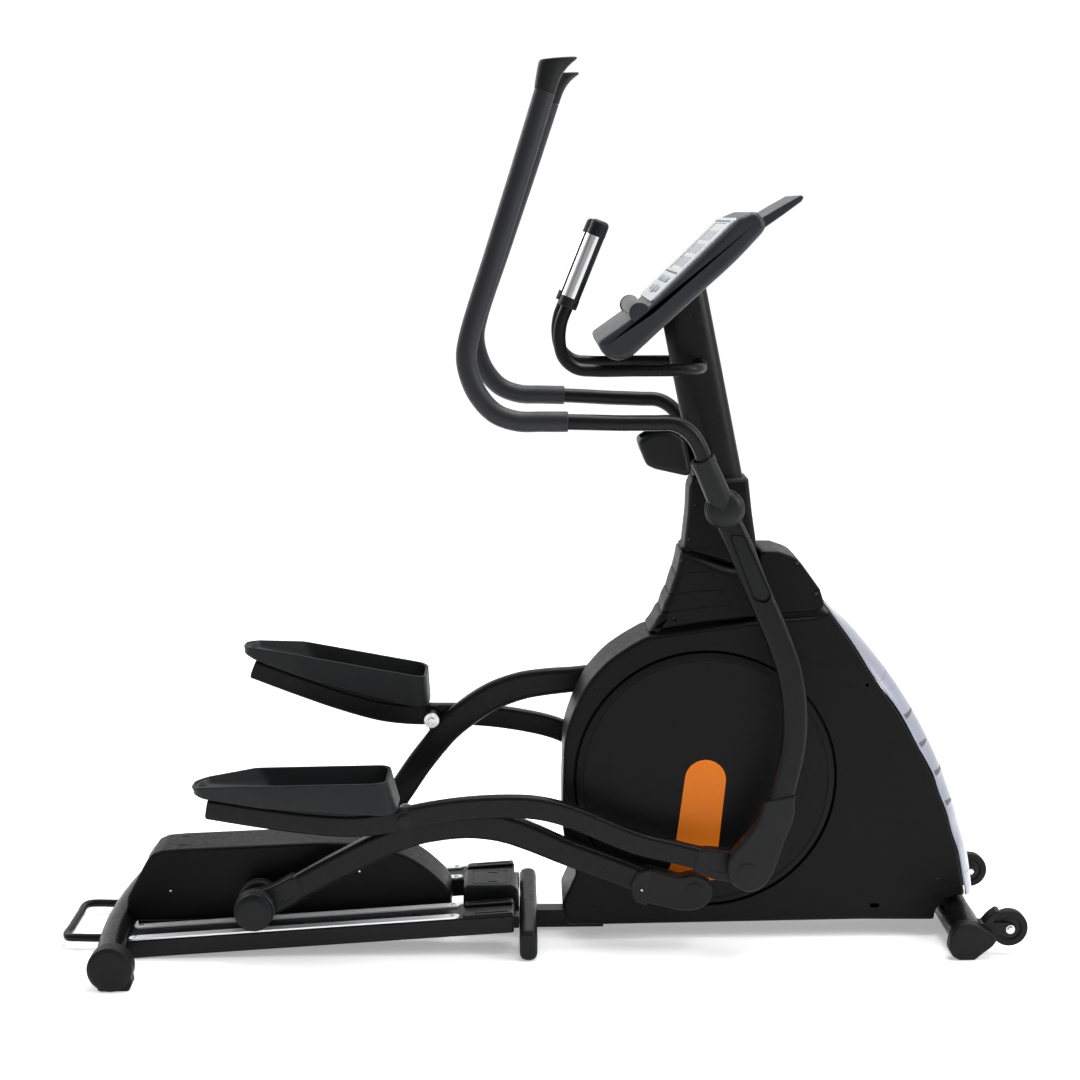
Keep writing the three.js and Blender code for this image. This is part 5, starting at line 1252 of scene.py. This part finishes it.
# foam grips with their flared ends
grip_line = [(-320.5, -262, 185), (-370, -262, 185.5), (-420, -262, 187), (-463, -262, 203), (-496, -262, 239), (-514, -262, 281), (-519, -262, 316), (-512, -262, 358), (-462, -262, 513), (-405, -262, 688), (-360.5, -262, 828)]
foam = sweep(grip_line, circle(20.6, 48), n=170, ends=(2.2, 0.6))
legs("handle_grip", foam, "foam", "swing_arm", "swing_arm", "handle_grip", sharp=50)
fl_rings = []
for z, left, right, ry, lean in [(829.5, -380.9, -340.0, 20.5, 16), (831, -381.4, -338.8, 21.2, 16), (840, -380.2, -336.2, 21.4, 15), (850, -378.4, -332.8, 21.7, 13), (860, -376.6, -328.0, 22.1, 10), (868, -375.2, -322.6, 22.6, 6),
                                 (875, -374.0, -315.6, 23.3, 2), (881, -373.0, -307.5, 24.2, -1), (885, -372.4, -300.5, 24.9, -3), (887.5, -371.6, -297.6, 25.0, -4), (889.6, -370.0, -297.4, 24.4, -4), (891.0, -367.0, -299.6, 22.6, -4)]:
    a = math.radians(lean)
    cx, rx = (left + right) / 2, (right - left) / 2
    fl_rings.append([(cx + rx * math.cos(t) * math.cos(a), -262 + ry * math.sin(t), z - rx * math.cos(t) * math.sin(a)) for t in [2 * math.pi * i / 56 for i in range(56)]])
legs("handle_flare", skin(fl_rings), "boot", "swing_arm", "swing_arm", sharp=50)

piece("pivot_axle", cyl(380, 960, 14.9, -215.5, 215.5, 1.0, 48), "steel", "pivot_axle")
both("pivot_sleeve", turn([(15.4, -80), (19.5, -80), (20.5, -82), (20.5, -180), (24, -182), (24, -185), (15.4, -185)], 0.8, (380, 960), 64, closed=True), "paint", body="frame")

# ------------------------------------------------------------------ pieces kept from the frame, with their own finishes

KEEP = {"main_frame": "paint", "crank_axle": "steel", "drive_pulley": "boot", "flywheel": "iron", "idler_pulley": "boot", "drive_belt": "belt", "brake_magnet": "iron"}
for n, matn in KEEP.items():
    o = NODES[n]
    o.data.materials.clear()
    o.data.materials.append(M[matn])
    bv = o.modifiers.new("edges", "BEVEL")
    bv.width = 0.0008
    bv.segments = 2
    bv.limit_method = "ANGLE"
    bv.angle_limit = math.radians(40)
    bv.harden_normals = False

# ------------------------------------------------------------------ stage, light and camera

me = bpy.data.meshes.new("floor")
s = 40.0
me.from_pydata([(-s, -s, 0), (s, -s, 0), (s, s, 0), (-s, s, 0)], [], [(0, 1, 2, 3)])
floor = bpy.data.objects.new("floor", me)
bpy.context.scene.collection.objects.link(floor)
fm, fnt, fb_ = base_material("pale_floor")
fb_.inputs["Base Color"].default_value = (0.93, 0.93, 0.935, 1)
fb_.inputs["Roughness"].default_value = 0.9
fb_.inputs["Emission Color"].default_value = (1, 1, 1, 1)
fb_.inputs["Emission Strength"].default_value = 0.33
fb_.inputs["Specular IOR Level"].default_value = 0.1
me.materials.append(fm)

world = bpy.data.worlds.new("studio")
bpy.context.scene.world = world
world.use_nodes = True
wt = world.node_tree
bg = wt.nodes["Background"]
bg.inputs["Strength"].default_value = 1.0
wc = wt.nodes.new("ShaderNodeTexCoord")
ws = wt.nodes.new("ShaderNodeSeparateXYZ")
wt.links.new(wc.outputs["Generated"], ws.inputs["Vector"])
wm = wt.nodes.new("ShaderNodeMapRange")
wm.interpolation_type = "SMOOTHSTEP"
wm.inputs["From Min"].default_value = -0.55
wm.inputs["From Max"].default_value = 0.25
wm.inputs["To Min"].default_value = 0.40
wm.inputs["To Max"].default_value = 1.02
wt.links.new(ws.outputs["Y"], wm.inputs["Value"])
wt.links.new(wm.outputs["Result"], bg.inputs["Color"])


def area(name, at, to, size, power, color=(1, 1, 1)):
    d = bpy.data.lights.new(name, "AREA")
    d.shape = "RECTANGLE"
    d.size, d.size_y = size
    d.energy = power
    d.color = color
    o = bpy.data.objects.new(name, d)
    bpy.context.scene.collection.objects.link(o)
    o.location = at
    o.rotation_mode = "QUATERNION"
    o.rotation_quaternion = (Vector(to) - Vector(at)).to_track_quat("-Z", "Y")
    return o


area("overhead", (0.9, 0.5, 4.4), (0.1, 0, 0.6), (3.6, 2.2), 200)
area("front_right", (4.2, -1.5, 2.7), (0.3, 0, 0.9), (1.6, 2.4), 110)
area("back_left", (-3.4, 2.8, 3.2), (0, 0, 0.9), (2.4, 2.0), 60)

cam_d = bpy.data.cameras.new("camera")
cam_d.sensor_width = 36
cam_d.lens = 2011 / 1080 * 36
cam_d.clip_end = 200
cam = bpy.data.objects.new("camera", cam_d)
bpy.context.scene.collection.objects.link(cam)
yaw, pitch, roll = math.radians(0.50), math.radians(9.20), math.radians(-0.39)
fw = Vector((math.sin(yaw) * math.cos(pitch), math.cos(yaw) * math.cos(pitch), -math.sin(pitch)))
rt = Vector((math.cos(yaw), -math.sin(yaw), 0))
up0 = rt.cross(fw)
r2 = rt * math.cos(roll) + up0 * math.sin(roll)
u2 = -rt * math.sin(roll) + up0 * math.cos(roll)
cam.matrix_world = Matrix(((r2.x, u2.x, -fw.x, -0.0304), (r2.y, u2.y, -fw.y, -4.25), (r2.z, u2.z, -fw.z, 1.553), (0, 0, 0, 1)))
bpy.context.scene.camera = cam
bpy.context.scene.view_settings.view_transform = "Standard"

bpy.context.view_layer.update()
